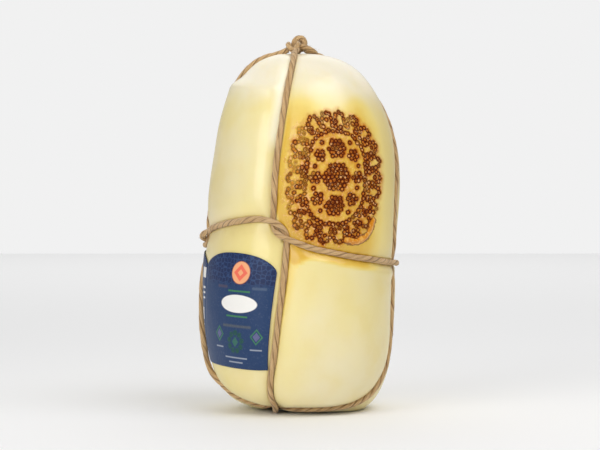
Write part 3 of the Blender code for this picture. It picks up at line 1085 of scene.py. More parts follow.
@dataclass(frozen=True)
class CheeseFinish:
    """The waxy straw-coloured skin, its golden patch and its burnt rings, with painted shade and
    painted highlights.
    """

    crown_highlight: Colour = tone("#f1ead9")
    pale: Colour = tone("#f1e8cc")
    straw: Colour = tone("#f0df94")
    butter: Colour = tone("#e9d279")
    flank_and_shade: Colour = tone("#cfb45a")
    shade: Colour = tone("#d6bd74")
    highlight_strip: Colour = tone("#fbf6dc")
    char: Colour = tone("#460c00")
    ember: Colour = tone("#983e00")
    toast: Colour = tone("#cb7c12")
    core: Colour = tone("#d27c26")
    soot: Colour = tone("#6a2804")
    glint: Colour = tone("#f2bb7c")
    melted: Colour = tone("#d88614")
    ripple: Colour = tone("#e9ac4c")
    lip_groove_shade: Colour = tone("#6e2c04")
    crazed: Colour = tone("#cf8f3e")
    fleck_and_glint: Colour = tone("#f3cb84")
    golden: tuple[tuple[float, Colour], ...] = (
        (0.0, tone("#eedd98")), (0.22, tone("#efd67a")), (0.45, tone("#e6c04e")),
        (0.66, tone("#dbae38")), (0.9, tone("#c98e20")))

    def material(self) -> bpy.types.Material:
        """Builds the cheese's material.

        Returns:
            The material.
        """
        material, graph, shader = new_material("cheese_skin")
        place = graph.place()
        reach = graph.math("ADD", graph.attribute("ring_reach"),
                           graph.swing(graph.noise(place, 900.0, 2.0), 0.45))
        heat = graph.attribute("ring_heat")
        glow = graph.times(graph.without(graph.ease(1.2, 2.0, reach)), heat)
        colour = self._burnt(graph, place, self._skin(graph, place), reach, heat, glow)
        graph.feed(shader.inputs["Base Color"], self._melted_lip(graph, place, colour))
        pores = specks(graph, place, 420.0, 0.56, 0.72)
        graph.feed(shader.inputs["Roughness"], graph.math(
            "ADD", 0.36, graph.times(pores.outputs["Soft"], 0.12)))
        graph.feed(shader.inputs["Coat Weight"], graph.times(0.62, graph.ease(1.1, 3.0, reach)))
        lumps = graph.math("ADD", graph.times(graph.noise(place, 260.0, 3.0), 0.3),
                           graph.times(pores.outputs["Mask"], -0.12))
        ash = graph.times(graph.noise(place, 1400.0, 3.0), glow, 1.6)
        graph.feed(shader.inputs["Normal"], graph.bump(graph.math("ADD", lumps, ash), 0.00022))
        give_constants(shader, {
            "Subsurface Weight": 0.10, "Subsurface Radius": (1.0, 0.7, 0.3),
            "Subsurface Scale": 0.003, "Coat Roughness": 0.24, "Coat IOR": 1.7,
            "Specular IOR Level": 0.08})
        return material

    def _burnt(self, graph: Graph, place: Socket, colour: Socket, reach: Socket, heat: Socket,
               glow: Socket) -> Socket:
        """Burns the rings: a toasted halo, an ember glow, a mottled core and a charred rim.

        Args:
            graph: The material's nodes.
            place: The object's coordinates.
            colour: The skin's colour.
            reach: The distance from a ring's middle, for a ring of radius 1.
            heat: The ring's heat.
            glow: How strongly the ring glows.

        Returns:
            The colour with the rings in it.
        """
        patch = graph.noise(place, 170.0, 3.0)
        toast = graph.times(graph.without(graph.ease(1.3, 4.2, reach)),
                            graph.ease(0.2, 0.7, graph.times(patch, heat)))
        colour = graph.tint(colour, self.toast, toast, 0.85)
        colour = graph.tint(colour, self.ember, glow, 0.85)
        core = graph.mix(graph.ease(0.40, 0.60, graph.noise(place, 240.0, 1.0)),
                         self.core, self.soot)
        colour = graph.tint(colour, core, graph.without(graph.ease(0.25, 0.7, reach)), 0.85)
        glints = specks(graph, place, 520.0, 0.56, 0.66).outputs["Mask"]
        glints = graph.times(glints, graph.ease(3.4, 1.4, reach))
        colour = graph.tint(colour, self.glint, glints, 0.8)
        rim = graph.times(graph.band(reach, 0.97, 0.12, 0.40), graph.ease(0.0, 1.0, heat))
        return graph.tint(colour, self.char, rim, 0.94)

    def _melted_lip(self, graph: Graph, place: Socket, colour: Socket) -> Socket:
        """Colours the melted lip, and darkens the groove along its edge with painted shade.

        Args:
            graph: The material's nodes.
            place: The object's coordinates.
            colour: The colour below.

        Returns:
            The colour with the lip on it.
        """
        lip = graph.math("ADD", graph.attribute("lip_reach"),
                         graph.swing(graph.noise(place, 420.0, 4.0), 3.4))
        ripple = graph.mix(graph.ease(0.42, 0.62, graph.noise(place, 560.0, 3.0)),
                           self.melted, self.ripple)
        colour = graph.tint(colour, ripple, graph.ease(2.3, 1.5, lip), 0.9)
        # Painted shade in the groove just outside the lip.
        return graph.tint(colour, self.lip_groove_shade, graph.band(lip, 2.1, 0.2, 0.8), 0.75)

    def _skin(self, graph: Graph, place: Socket) -> Socket:
        """The unburnt skin: pale at the crown, partly as painted light, yellower below, golden
        where it was warmed.

        Args:
            graph: The material's nodes.
            place: The object's coordinates.

        Returns:
            The skin's colour.
        """
        height = graph.split(place)[2]
        cloud = graph.noise(place, 13.0, 3.0)
        # The crown is paler, partly painted light from above, and whiter still from a painted
        # highlight.
        crown = graph.ease(0.184, 0.208, graph.math("ADD", height, graph.swing(cloud, 0.02)))
        light = graph.math("ADD", graph.ease(0.3, 0.8, cloud), graph.times(crown, 0.8), clamp=True)
        colour = graph.tint(self.straw, self.pale, light, 0.8)
        colour = graph.tint(colour, self.crown_highlight, crown, 0.5)
        veins = graph.ease(0.48, 0.75, graph.noise(place, 38.0, 4.0))
        colour = graph.tint(colour, self.butter, veins, 0.3)
        # Darker, yellower skin towards the sides: partly its own rind tone, partly painted shade.
        colour = graph.tint(colour, self.flank_and_shade, graph.attribute("flank_and_shade"), 0.75)
        # Beside the strings: partly a stain, partly painted shadow, broadest below the waist
        # string.
        bed = graph.times(graph.attribute("stain_and_shade"),
                          graph.ease(0.1, 0.6, graph.noise(place, 60.0, 3.0)))
        colour = graph.tint(colour, self.shade, bed, 0.6)
        # Painted highlight: a pale strip left of the upper front string.
        colour = graph.tint(colour, self.highlight_strip, graph.attribute("highlight_strip"), 0.75)
        scorch = graph.attribute("scorch")
        uneven = graph.swing(graph.noise(place, 60.0, 4.0), 0.34)
        uneven = graph.times(uneven, graph.ease(0.02, 0.3, scorch))
        golden = graph.ramp(graph.math("ADD", scorch, uneven, clamp=True), self.golden)
        hot = graph.times(graph.ease(0.34, 0.5, scorch),
                          graph.ease(5.6, 3.2, graph.attribute("ring_reach")))
        # Darker crazed specks, and pale flecks that are partly painted glints.
        for scale, low, high, ink, share in ((330.0, 0.48, 0.62, self.crazed, 0.45),
                                             (760.0, 0.56, 0.64, self.fleck_and_glint, 0.5)):
            mask = specks(graph, place, scale, low, high).outputs["Mask"]
            golden = graph.tint(golden, ink, graph.times(mask, hot), share)
        return graph.mix(graph.ease(0.0, 0.2, scorch), colour, golden)


@dataclass
class Cheese:
    """The cheese itself, one piece, with the strings' beds and the burnt pits in its mesh."""

    form: CheeseForm
    routes: StringRoutes
    mark: BurntMark
    finish: CheeseFinish = field(default_factory=CheeseFinish)
    columns: int = 216
    rows: int = 144
    base_rows: int = 13
    bed_reach: float = 6.0
    bed_gap: float = 0.12
    bed_step: float = 1.4
    string_cuts: int = 1
    mark_cuts: int = 3
    mark_margin: float = 1.8
    pit_depth: float = 0.6
    ridge_height: float = 0.16
    lip_height: float = 0.7
    lip_groove: float = 0.35

    def _plain(self, globe: Array) -> tuple[Array, Array]:
        """Lays points of a globe on the plain cheese.

        Args:
            globe: Points of a globe of any size.

        Returns:
            The plain points and their normals.
        """
        size = np.linalg.norm(globe, axis=1)
        row = self.rows * (np.arcsin(np.clip(globe[:, 2] / size, -1, 1)) / math.pi + 0.5)
        run = self.form.side[0]
        rim = self.form.s_at(0.0)
        s = np.where(row < self.base_rows, rim * row / self.base_rows,
                     rim + (run[-1] - rim) * (row - self.base_rows) / (self.rows - self.base_rows))
        return self.form.skin(np.arctan2(globe[:, 0], -globe[:, 1]), s)

    def _cut_where(self, mesh: bpy.types.Mesh, test: Callable[[Array], Array], cuts: int) -> None:
        """Subdivides the faces whose plain middles pass a test.

        Args:
            mesh: The globe's mesh, on the active object.
            test: Takes plain points and says which pass.
            cuts: The number of cuts across each face.
        """
        centres = np.empty(len(mesh.polygons) * 3, np.float32)
        mesh.polygons.foreach_get("center", centres)
        plain = self._plain(centres.reshape(-1, 3).astype(float))[0]
        chosen = test(plain)
        mesh.vertices.foreach_set("select", np.zeros(len(mesh.vertices), bool))
        mesh.edges.foreach_set("select", np.zeros(len(mesh.edges), bool))
        mesh.polygons.foreach_set("select", chosen)
        bpy.context.tool_settings.mesh_select_mode = (False, False, True)
        bpy.ops.object.mode_set(mode="EDIT")
        bpy.ops.mesh.subdivide(number_cuts=cuts)
        bpy.ops.object.mode_set(mode="OBJECT")

    def _in_mark(self, plain: Array) -> Array:
        """Tells which points lie within the burnt rings' reach.

        Args:
            plain: Plain points.

        Returns:
            True or false for each.
        """
        flat, rings = self.mark.flat(plain), self.mark.rings[:, :2]
        inside = flat > rings.min(axis=0) - self.mark_margin
        inside &= flat < rings.max(axis=0) + self.mark_margin
        return inside.all(axis=1) & (plain[:, 1] < 0.0)

    def _near_string(self, plain: Array) -> Array:
        """Tells which points lie close to a string, away from the burnt pattern.

        Args:
            plain: Plain points.

        Returns:
            True or false for each.
        """
        near = np.zeros(len(plain), bool)
        for line, _ in self.routes.plain.values():
            near |= foot_on(plain, line)[0] < self.bed_reach
        return near & ~self._in_mark(plain)

    def _bedded(self, places: Array, out: Array) -> tuple[Array, Array]:
        """Presses the strings' round beds into the cheese.

        Args:
            places: The points of the cheese.
            out: Their outward directions.

        Returns:
            The pressed points, and each one's distance to the nearest string's middle.
        """
        nearest = np.full(len(places), FAR_AWAY)
        radius = self.routes.twine_radius + self.bed_gap
        for line in self.routes.settled.values():
            d, foot = foot_on(places, evenly(line, self.bed_step))
            over = places - foot
            high = (over * out).sum(-1)
            aside = np.sqrt(np.maximum(d * d - high * high, 0.0))
            floor = -np.sqrt(np.maximum(radius**2 - aside**2, 0.0))
            under = (aside < radius) & (np.abs(high) < self.bed_reach)
            press = np.where(under, np.maximum(high - floor, 0.0), 0.0)
            places = places - out * press[:, None]
            nearest = np.minimum(nearest, d)
        return places, nearest

    def _bed_stain_and_shade(self, places: Array, nearest: Array) -> Array:
        """Tints the cheese beside the strings, partly stain and partly painted shadow, most below
        the waist one.

        Args:
            places: The points of the cheese.
            nearest: Each one's distance to the nearest string's middle.

        Returns:
            The shade at each point, from 0 to 1.
        """
        tint = 0.8 * bell(np.maximum(nearest - 1.9, 0.0), 0.0, 2.2)
        for line in self.routes.settled.values():
            flat = np.abs(np.gradient(line[:, 2])) < 0.5
            part = line[flat & (line[:, 2] > 85.0) & (line[:, 2] < 126.0)]
            d, foot = foot_on(places, part)
            below = smooth_between(0.0, 1.5, foot[:, 2] - places[:, 2])
            spread = 3.5 + 6.5 * smooth_between(-8.0, -16.0, places[:, 0])
            tint = np.maximum(tint, below * bell(np.maximum(d - 2.0, 0.0), 0.0, spread))
        return tint

    @staticmethod
    def _flank_and_shade(places: Array) -> Array:
        """Deepens the skin towards the sides, most on the upper right: partly its rind, partly
        painted shade.

        Args:
            places: The points of the cheese.

        Returns:
            The depth at each point, from 0 to 1.
        """
        right = smooth_between(30.0, 58.0, places[:, 0])
        left = smooth_between(34.0, 60.0, -places[:, 0])
        high = smooth_between(70.0, 120.0, places[:, 2])
        front = 1 - smooth_between(0.0, 36.0, places[:, 1])
        return front * (right * (0.2 + 0.65 * high) + (0.15 + 0.35 * high) * left)

    def _by_front_string(self, plain: Array) -> tuple[Array, Array]:
        """Measures points against the string that runs up the front above the waist.

        Args:
            plain: Plain points.

        Returns:
            Their distances from it, and how far left of it they lie.
        """
        line = self.routes.plain[Strand.GIRDLE][0]
        front = line[(line[:, 1] < 0) & (line[:, 2] > 122.0) & (line[:, 0] > -32.0)]
        d, foot = foot_on(plain, front)
        return d, foot[:, 0] - plain[:, 0]

    def _lumps(self, plain: Array) -> Array:
        """Raises soft lumps, and a crisper brow along the top of the left lobe.

        Args:
            plain: Plain points.

        Returns:
            How high the cheese stands over each point.
        """
        lift = np.array([0.55 * noise.noise(Vector(p) / 34.0) + 0.14 * noise.noise(
            Vector(p) / 11.0) for p in plain])
        degrees, z = np.degrees(self.form.azimuth(plain)), plain[:, 2]
        lobe = smooth_between(-112, -84, degrees) * (1 - smooth_between(-26, -12, degrees))
        rim = 200.5 + 2.0 * np.sin(np.radians(degrees * 3.0))
        brow = 0.75 * bell(z, rim, 3.2)
        dip = -0.8 * bell(z - rim, 7.5, 4.5)
        d, aside = self._by_front_string(plain)
        left = 0.3 + 0.7 * smooth_between(-0.5, 1.5, aside)
        lift = lift + lobe * (brow + dip) - 1.15 * left * bell(d, 0.0, 3.9)
        line = self.routes.plain[Strand.GIRDLE][0]
        waist = line[(line[:, 1] < -8) & (line[:, 2] < 107.0) & (line[:, 0] > -4.0)]
        d, foot = foot_on(plain, waist)
        below = smooth_between(0.0, 3.0, foot[:, 2] - z) * bell(d, 6.6, 2.6)
        return lift + below * smooth_between(-6.0, 6.0, plain[:, 0])

    def _highlight_strip(self, plain: Array) -> Array:
        """Paints a pale highlight along the left of the upper front string.

        Args:
            plain: Plain points.

        Returns:
            How pale each point is, from 0 to 1.
        """
        d, aside = self._by_front_string(plain)
        high = smooth_between(158.0, 172.0, plain[:, 2])
        left = smooth_between(0.5, 2.0, aside)
        return left * high * (1 - smooth_between(4.0, 9.5, d)) * (plain[:, 1] < 0)

    def _burnt_in(self, lift: Array, reach: Array, heat: Array, lip: Array) -> Array:
        """Sinks the rings' rims and middles, and raises the skin round them and the lip.

        Args:
            lift: How high the cheese stands over each point.
            reach: Distances from the nearest ring's middle, for a ring of radius 1.
            heat: That ring's heat.
            lip: Distances from the melted lip.

        Returns:
            How high it stands with the pattern burnt in.
        """
        rim = bell(reach, 0.95, 0.42) + 0.35 * bell(reach, 0.0, 0.5)
        lift = lift - self.pit_depth * (0.5 + 0.5 * heat) * rim
        lift = lift + self.ridge_height * bell(reach, 1.75, 0.35)
        return lift + (self.lip_height * bell(lip, 0.0, 1.4)
                       - self.lip_groove * bell(lip, 2.2, 0.5))

    def build(self) -> bpy.types.Object:
        """Shapes and dresses the cheese.

        Returns:
            The finished piece.
        """
        deselect_all()
        bpy.ops.mesh.primitive_uv_sphere_add(segments=self.columns, ring_count=self.rows,
                                             radius=1.0)
        piece = bpy.context.active_object
        piece.name = "cheese_body"
        mesh = piece.data
        self._cut_where(mesh, self._near_string, self.string_cuts)
        self._cut_where(mesh, self._in_mark, self.mark_cuts)
        plain, out = self._plain(coordinates(mesh))
        reach, heat = self.mark.on_points(plain)
        lip = self.mark.lip(plain)
        lift = self.routes.relief(plain) + self._lumps(plain)
        lift = self._burnt_in(lift, reach, heat, lip)
        places = plain + out * lift[:, None]
        places, nearest = self._bedded(places, out)
        pressed = 1 - smooth_between(self.form.base_press, 5 * self.form.base_press, places[:, 2])
        places[:, 2] = np.maximum(places[:, 2] - self.form.base_press * pressed, 0.0)
        move_points(mesh, places)
        for name, values in (
                ("ring_reach", reach), ("ring_heat", heat), ("lip_reach", lip),
                ("scorch", self.mark.scorch(plain)), ("stain_and_shade", self._bed_stain_and_shade(places, nearest)),
                ("flank_and_shade", self._flank_and_shade(places)), ("highlight_strip", self._highlight_strip(plain))):
            give_values(mesh, name, values)
        mesh.shade_smooth()
        mesh.materials.append(self.finish.material())
        fit_out(piece, "cheese")
        return piece


# ---------------------------------------------------------------------------------------
# The twine
# ---------------------------------------------------------------------------------------


@dataclass(frozen=True)
class TwineFinish:
    """Dry plant-fibre twine: tan plies and pale streaks, with painted shade in the furrows."""

    light: Colour = tone("#dcbb8c")
    middle: Colour = tone("#c39d6a")
    dark: Colour = tone("#96704a")
    deep: Colour = tone("#664523")
    fresh: Colour = tone("#f4e0c4")

    def material(self) -> bpy.types.Material:
        """Builds the twine's material, which reads the strand's own coordinates.

        Returns:
            The material.
        """
        material, graph, shader = new_material("twine_fibre")
        strand = graph.attribute("strand", "Vector")
        furrow = graph.ease(0.5, 1.0, graph.attribute("furrow"))
        streak, fine, patch, worn = (
            graph.noise(graph.stretch(strand, scale), 1.0, detail) for scale, detail in (
                ((3.2, 3.2, 0.10), 4.0), ((11.0, 11.0, 0.35), 3.0), ((0.5, 0.5, 0.045), 2.0),
                ((0.3, 0.3, 0.11), 2.0)))
        colour = graph.tint(self.middle, self.light, graph.ease(0.3, 0.7, streak))
        colour = graph.tint(colour, self.dark, graph.ease(0.5, 0.78, fine), 0.55)
        colour = graph.tint(colour, self.dark, graph.ease(0.5, 0.72, patch), 0.35)
        # Painted shade: the furrows between plies are darkened, more in some places.
        depth = graph.math("ADD", 0.22, graph.times(graph.ease(0.3, 0.62, worn), 0.5))
        colour = graph.tint(colour, self.deep, graph.times(furrow, depth))
        colour = graph.tint(colour, self.fresh, graph.attribute("cut"), 0.85)
        graph.feed(shader.inputs["Base Color"], colour)
        grain = graph.math("ADD", fine, graph.times(streak, 0.5))
        graph.feed(shader.inputs["Normal"], graph.bump(grain, 0.0004, 0.8))
        give_constants(shader, {"Roughness": 0.85, "Specular IOR Level": 0.25,
                                "Sheen Weight": 0.25, "Sheen Roughness": 0.5})
        return material


@dataclass
class Twine:
    """Twisted twine laid along a path, with its plies as real ridges and loose fibres.

    The pitch is how far along it the plies go round once, longer where the string is pulled
    straight up or down. A slow drift sways its thickness and the way its plies turn.
    """

    radius: float = 1.85
    plies: int = 3
    long_pitch: float = 38.0
    short_pitch: float = 20.0
    overlap: float = 0.19
    sides: int = 27
    step: float = 1.1
    drift_span: float = 9.0
    drift_turn: float = 0.3
    drift_swell: float = 0.045
    roughness: float = 0.02
    seed_gap: float = 37.0
    fibre_rings: int = 4
    fibre_sides: int = 3
    fibre_length: Pair = (1.5, 3.5)
    fibre_radius: Pair = (0.04, 0.07)
    fibre_spread: Pair = (0.05, 0.3)
    fibre_curl: float = 0.2
    fibre_low_z: float = 0.05
    finish: TwineFinish = field(default_factory=TwineFinish)
    shared: bpy.types.Material | None = None

    def _frames(self, path: Array) -> tuple[Array, Array, Array]:
        """Follows a path with directions that turn as little as they can.

        Args:
            path: The path's points.

        Returns:
            The tangents, and two cross directions.
        """
        tangent = np.gradient(path, axis=0)
        tangent /= np.linalg.norm(tangent, axis=1)[:, None]
        first = np.zeros_like(path)
        guess = np.array([0.0, 0.0, 1.0]) if abs(tangent[0, 2]) < 0.9 else np.array([1.0, 0, 0])
        for k, t in enumerate(tangent):
            guess = guess - t * (guess @ t)
            guess = guess / np.linalg.norm(guess)
            first[k] = guess
        return tangent, first, np.cross(tangent, first)

    def _section(self, turn: Array) -> Array:
        """Draws round plies pressed together.

        Args:
            turn: Angles round the strand.

        Returns:
            The outline's distance from the middle, for a strand of radius 1.
        """
        lobe = (turn + math.pi / self.plies) % (2 * math.pi / self.plies) - math.pi / self.plies
        off, size = self.overlap, 1 - self.overlap
        return off * np.cos(lobe) + np.sqrt(np.maximum(size**2 - (off * np.sin(lobe)) ** 2, 0))

    def strand(self, path: Array, seed: int, radius: float | None = None,
               tight: Array | None = None) -> dict[str, Array]:
        """Sweeps the twisted section along a path.

        Args:
            path: The strand's centre line.
            seed: Sets this strand's own unevenness.
            radius: Its radius, where it isn't the usual one.
            tight: Radius factors at even places along it, for tapered or frayed ends.

        Returns:
            Its table: points, faces, strand coordinates, furrow depths and cut ends.
        """
        path = evenly(path, self.step)
        count, sides = len(path), self.sides
        radius = self.radius if radius is None else radius
        _, first, second = self._frames(path)
        run = np.concatenate([[0], np.cumsum(np.linalg.norm(np.diff(path, axis=0), axis=1))])
        rng = np.random.default_rng(seed)
        knots = max(4, int(run[-1] / self.drift_span))
        slow = np.interp(run, np.linspace(0, run[-1], knots), rng.normal(0, 1, knots))
        turn = np.arange(sides) * 2 * math.pi / sides
        shape = self._section(turn)
        steep = smooth_between(0.35, 0.85, np.abs(np.gradient(path[:, 2]) / self.step))
        pitch = self.short_pitch + (self.long_pitch - self.short_pitch) * steep
        spin = -2 * math.pi * np.cumsum(self.step / pitch) + self.drift_turn * slow
        size = radius * (1 + self.drift_swell * np.clip(slow, -1.6, 1.2))
        if tight is not None:
            size = size * np.interp(run, np.linspace(0, run[-1], len(tight)), tight)
        rough = 1 + self.roughness * rng.normal(0, 1, (count, sides))
        angle = turn[None, :] + spin[:, None]
        reach = (size[:, None] * shape[None, :] * rough)[..., None]
        ring = first[:, None, :] * np.cos(angle)[..., None]
        ring = ring + second[:, None, :] * np.sin(angle)[..., None]
        points = (path[:, None, :] + ring * reach).reshape(-1, 3)
        k, j = np.indices((count - 1, sides))
        near, far = k * sides, (k + 1) * sides
        beside = (j + 1) % sides
        faces = np.stack([near + j, near + beside, far + beside, far + j], -1).reshape(-1, 4)
        depth = (1 - shape) / (1 - shape.min())
        shift = self.seed_gap * seed
        strand = np.stack([np.broadcast_to(np.cos(turn), (count, sides)),
                           np.broadcast_to(np.sin(turn), (count, sides)),
                           np.broadcast_to((run + shift)[:, None], (count, sides))], -1)
        ends = np.array([path[0], path[-1]])
        first_end, last_end = len(points), len(points) + 1
        last = (count - 1) * sides
        around = np.arange(sides)
        caps = [np.stack([np.full(sides, first_end), (around + 1) % sides, around], -1),
                np.stack([np.full(sides, last_end), last + around,
                          last + (around + 1) % sides], -1)]
        end_values = np.array([[0.0, 0.0, shift], [0.0, 0.0, run[-1] + shift]])
        cut = np.zeros(len(points) + 2)
        cut[-2:], cut[:sides], cut[last:last + sides] = 1.0, 0.5, 0.5
        return {
            "points": np.vstack([points, ends]), "quads": faces, "tris": np.vstack(caps),
            "strand": np.vstack([strand.reshape(-1, 3), end_values]),
            "furrow": np.concatenate([np.tile(depth, count), [0.0, 0.0]]), "cut": cut,
        }

    def fibres(self, path: Array, count: int, seed: int,
               away: Callable[[Array], Array] | None = None) -> dict[str, Array]:
        """Makes short loose fibres that stand off a strand.

        Args:
            path: The strand's centre line.
            count: How many to make.
            seed: Sets their places.
            away: Gives outward directions, so that fibres stay off what carries the strand.

        Returns:
            The same kind of table as strand() gives.
        """
        path = evenly(path, self.step)
        tangent, first, second = self._frames(path)
        rng = np.random.default_rng(seed)
        outward = away(path) if away is not None else None
        rings, sides = self.fibre_rings, self.fibre_sides
        points, quads, tris, values = [], [], [], []
        for _ in range(count):
            k = int(rng.integers(2, len(path) - 2))
            turn = rng.uniform(0, 2 * math.pi)
            side = first[k] * math.cos(turn) + second[k] * math.sin(turn)
            if outward is not None and side @ outward[k] < 0.15:
                side = side - 2 * (side @ outward[k]) * outward[k]
            lean = tangent[k] * rng.choice([-1.0, 1.0]) + side * rng.uniform(*self.fibre_spread)
            lean = lean / np.linalg.norm(lean)
            length, curl = rng.uniform(*self.fibre_length), rng.normal(0, self.fibre_curl, 3)
            thick = rng.uniform(*self.fibre_radius)
            across = np.cross(lean, side)
            base = len(points)
            for q in range(rings):
                t = q / (rings - 1)
                middle = path[k] + side * self.radius * 0.93 + lean * length * t
                middle = middle + curl * length * t * t * 0.5
                for w in range(sides):
                    turn = 2 * math.pi * w / sides
                    thin = thick * (1 - 0.7 * t)
                    points.append(middle + thin * (side * math.cos(turn)
                                                   + across * math.sin(turn)))
                    values.append((math.cos(turn), 0.3, 10.0 * q))
            for q in range(rings - 1):
                near, far = base + sides * q, base + sides * (q + 1)
                for w in range(sides):
                    beside = (w + 1) % sides
                    quads.append((near + w, near + beside, far + beside, far + w))
            tip = base + sides * (rings - 1)
            tris += [(base, base + 2, base + 1), (tip, tip + 1, tip + 2)]
        above = np.array(points)
        above[:, 2] = np.maximum(above[:, 2], self.fibre_low_z)
        return {"points": above, "quads": np.array(quads), "tris": np.array(tris),
                "strand": np.array(values), "furrow": np.zeros(len(points)),
                "cut": np.zeros(len(points))}

    def piece(self, name: str, parts: list[dict[str, Array]], node: str) -> bpy.types.Object:
        """Makes one piece of several strands and fibres.

        Args:
            name: The piece's name.
            parts: Tables from strand() and fibres().
            node: The solid that the piece replaces.

        Returns:
            The finished piece.
        """
        start, points, faces = 0, [], []
        for part in parts:
            points.append(part["points"])
            faces += (part["quads"] + start).tolist() + (part["tris"] + start).tolist()
            start += len(part["points"])
        mesh = bpy.data.meshes.new(name)
        mesh.from_pydata((np.vstack(points) * MM).tolist(), [], faces)
        give_values(mesh, "strand", np.vstack([part["strand"] for part in parts]))
        for table in ("furrow", "cut"):
            give_values(mesh, table, np.concatenate([part[table] for part in parts]))
        mesh.shade_smooth()
        if self.shared is None:
            self.shared = self.finish.material()
        mesh.materials.append(self.shared)
        piece = bpy.data.objects.new(name, mesh)
        bpy.context.scene.collection.objects.link(piece)
        fit_out(piece, node)
        return piece


@dataclass
class Binding:
    """The two strings and the knot that ties their four ends."""

    form: CheeseForm
    routes: StringRoutes
    twine: Twine
    cradle_fibres: int = 170
    girdle_fibres: int = 100
    knot_fibres: int = 8
    step: float = 1.0

    def _outward(self, path: Array) -> Array:
        """Directions away from the cheese along a string."""
        return self.form.skin(*self.form.locate(path))[1]

    def strings(self) -> list[bpy.types.Object]:
        """Lays both strings, with their ends run on under the knot.

        Returns:
            The two pieces.
        """
        ends = {
            Strand.CRADLE: ((-0.8, 2.2, 224.6), (3.4, 0.4, 224.9)),
            Strand.GIRDLE: ((-1.6, -3.6, 225.0), (-7.5, -1.4, 224.6)),
        }
        counts = {Strand.CRADLE: self.cradle_fibres, Strand.GIRDLE: self.girdle_fibres}
        made = []
        for seed, (strand, line) in enumerate(self.routes.settled.items(), start=3):
            first, last = (np.array(place) for place in ends[strand])
            path = spline(np.vstack([first, line[2:-2:3], line[-2:-1], last]), self.step)
            parts = [self.twine.strand(path, seed),
                     self.twine.fibres(path, counts[strand], seed + 10, self._outward)]
            name = f"twine_{strand.value}"
            made.append(self.twine.piece(f"{name}_laid", parts, name))
        return made

    def knot(self) -> bpy.types.Object:
        """Ties the knot: an upright loop, a low wrap, a short tuck behind and two cut ends.

        Returns:
            The piece.
        """
        loop = np.array([
            (-3.7, 0.8, 225.0), (-3.9, 0.5, 227.6), (-3.1, 0.2, 230.3), (-0.6, 0.0, 232.3),
            (1.9, 0.0, 231.5), (2.9, 0.1, 229.4), (2.6, 0.4, 227.2), (1.2, 0.8, 225.2)])
        wrap = np.array([
            (-3.6, -4.4, 224.2), (-5.8, -4.4, 225.2), (-7.1, -3.0, 227.1), (-7.2, -0.4, 228.2),
            (-6.9, 2.2, 227.0), (-5.2, 3.8, 225.2), (-1.0, 4.0, 225.0), (3.4, 3.0, 225.8),
            (6.2, 1.4, 225.6)])
        cut_front = np.array([
            (-3.0, -6.4, 222.9), (-2.6, -5.6, 225.0), (-1.7, -4.8, 227.1), (-0.4, -4.4, 229.1)])
        cut_right = np.array([
            (-2.0, -2.2, 226.6), (1.6, -2.8, 226.6), (5.4, -2.4, 225.6), (8.6, -1.6, 224.2),
            (10.8, -1.0, 222.9)])
        tuck = np.array([
            (-3.0, 3.2, 225.4), (-1.6, 3.2, 228.0), (0.8, 3.0, 229.4), (2.6, 2.6, 228.2),
            (3.2, 2.0, 225.6)])
        frayed = np.array([1.0] * 9 + [1.1, 1.12])
        pointed = np.array([1.0, 1.0, 1.0, 0.95, 0.75, 0.4])
        parts = [self.twine.strand(spline(line, self.step), seed, radius, tight)
                 for line, seed, radius, tight in (
                     (loop, 21, None, None), (wrap, 22, None, None), (tuck, 25, 1.6, None),
                     (cut_front, 23, 1.5, frayed), (cut_right, 24, 1.6, pointed))]
        for seed, line in enumerate((loop, wrap, cut_front, cut_right), start=31):
            parts.append(self.twine.fibres(spline(line, self.step), self.knot_fibres, seed))
        return self.twine.piece("twine_knot_tied", parts, "twine_knot")


# ---------------------------------------------------------------------------------------
# The label
# ---------------------------------------------------------------------------------------


@dataclass
class Sheet:
    """The label's face in print: where a point lies on it in millimetres, and its colour."""

    graph: Graph
    x: Socket
    y: Socket
    colour: Any

    @cached_property
    def flat(self) -> Socket:
        """Joins the two numbers of a point's place.

        Returns:
            The place, for a texture.
        """
        node = self.graph.add("ShaderNodeCombineXYZ")
        self.graph.feed(node.inputs[0], self.x)
        self.graph.feed(node.inputs[1], self.y)
        return node.outputs[0]

    def ink(self, mask: Socket, colour: Colour, share: float = 1.0) -> None:
        """Prints a colour where a mask is, which covers this share of what lies below."""
        self.colour = self.graph.tint(self.colour, colour, mask, share)

    def _off(self, middle: Pair) -> list[Socket]:
        """How far a point lies from a middle, sideways and up."""
        return [self.graph.math("ABSOLUTE", self.graph.math("SUBTRACT", value, centre))
                for value, centre in zip((self.x, self.y), middle)]

    def _shares(self, middle: Pair, half: Pair) -> list[Socket]:
        """The same, for a form whose half size is 1."""
        return [self.graph.math("DIVIDE", off, reach)
                for off, reach in zip(self._off(middle), half)]

    def oval(self, middle: Pair, half: Pair, edge: float = 0.04) -> Socket:
        """Masks an oval.

        Args:
            middle: Its middle.
            half: Half its width and half its height.
            edge: How soft its edge is, for a half size of 1.

        Returns:
            1 inside it, 0 outside.
        """
        squares = [self.graph.math("POWER", share, 2.0) for share in self._shares(middle, half)]
        off = self.graph.math("SQRT", self.graph.math("ADD", *squares))
        return self.graph.ease(1 + edge, 1 - edge, off)

    def lozenge(self, middle: Pair, half: Pair, edge: float = 0.08) -> Socket:
        """Masks an upright lozenge, from the same values as an oval."""
        off = self.graph.math("ADD", *self._shares(middle, half))
        return self.graph.ease(1 + edge, 1 - edge, off)

    def block(self, middle: Pair, size: Pair, edge: float = 0.2) -> Socket:
        """Masks an upright rectangle.

        Args:
            middle: Its middle.
            size: Its width and its height.
            edge: How soft its edge is, in millimetres.

        Returns:
            1 inside it, 0 outside.
        """
        return self.graph.times(*(
            self.graph.ease(width / 2 + edge, width / 2 - edge, off)
            for off, width in zip(self._off(middle), size)))


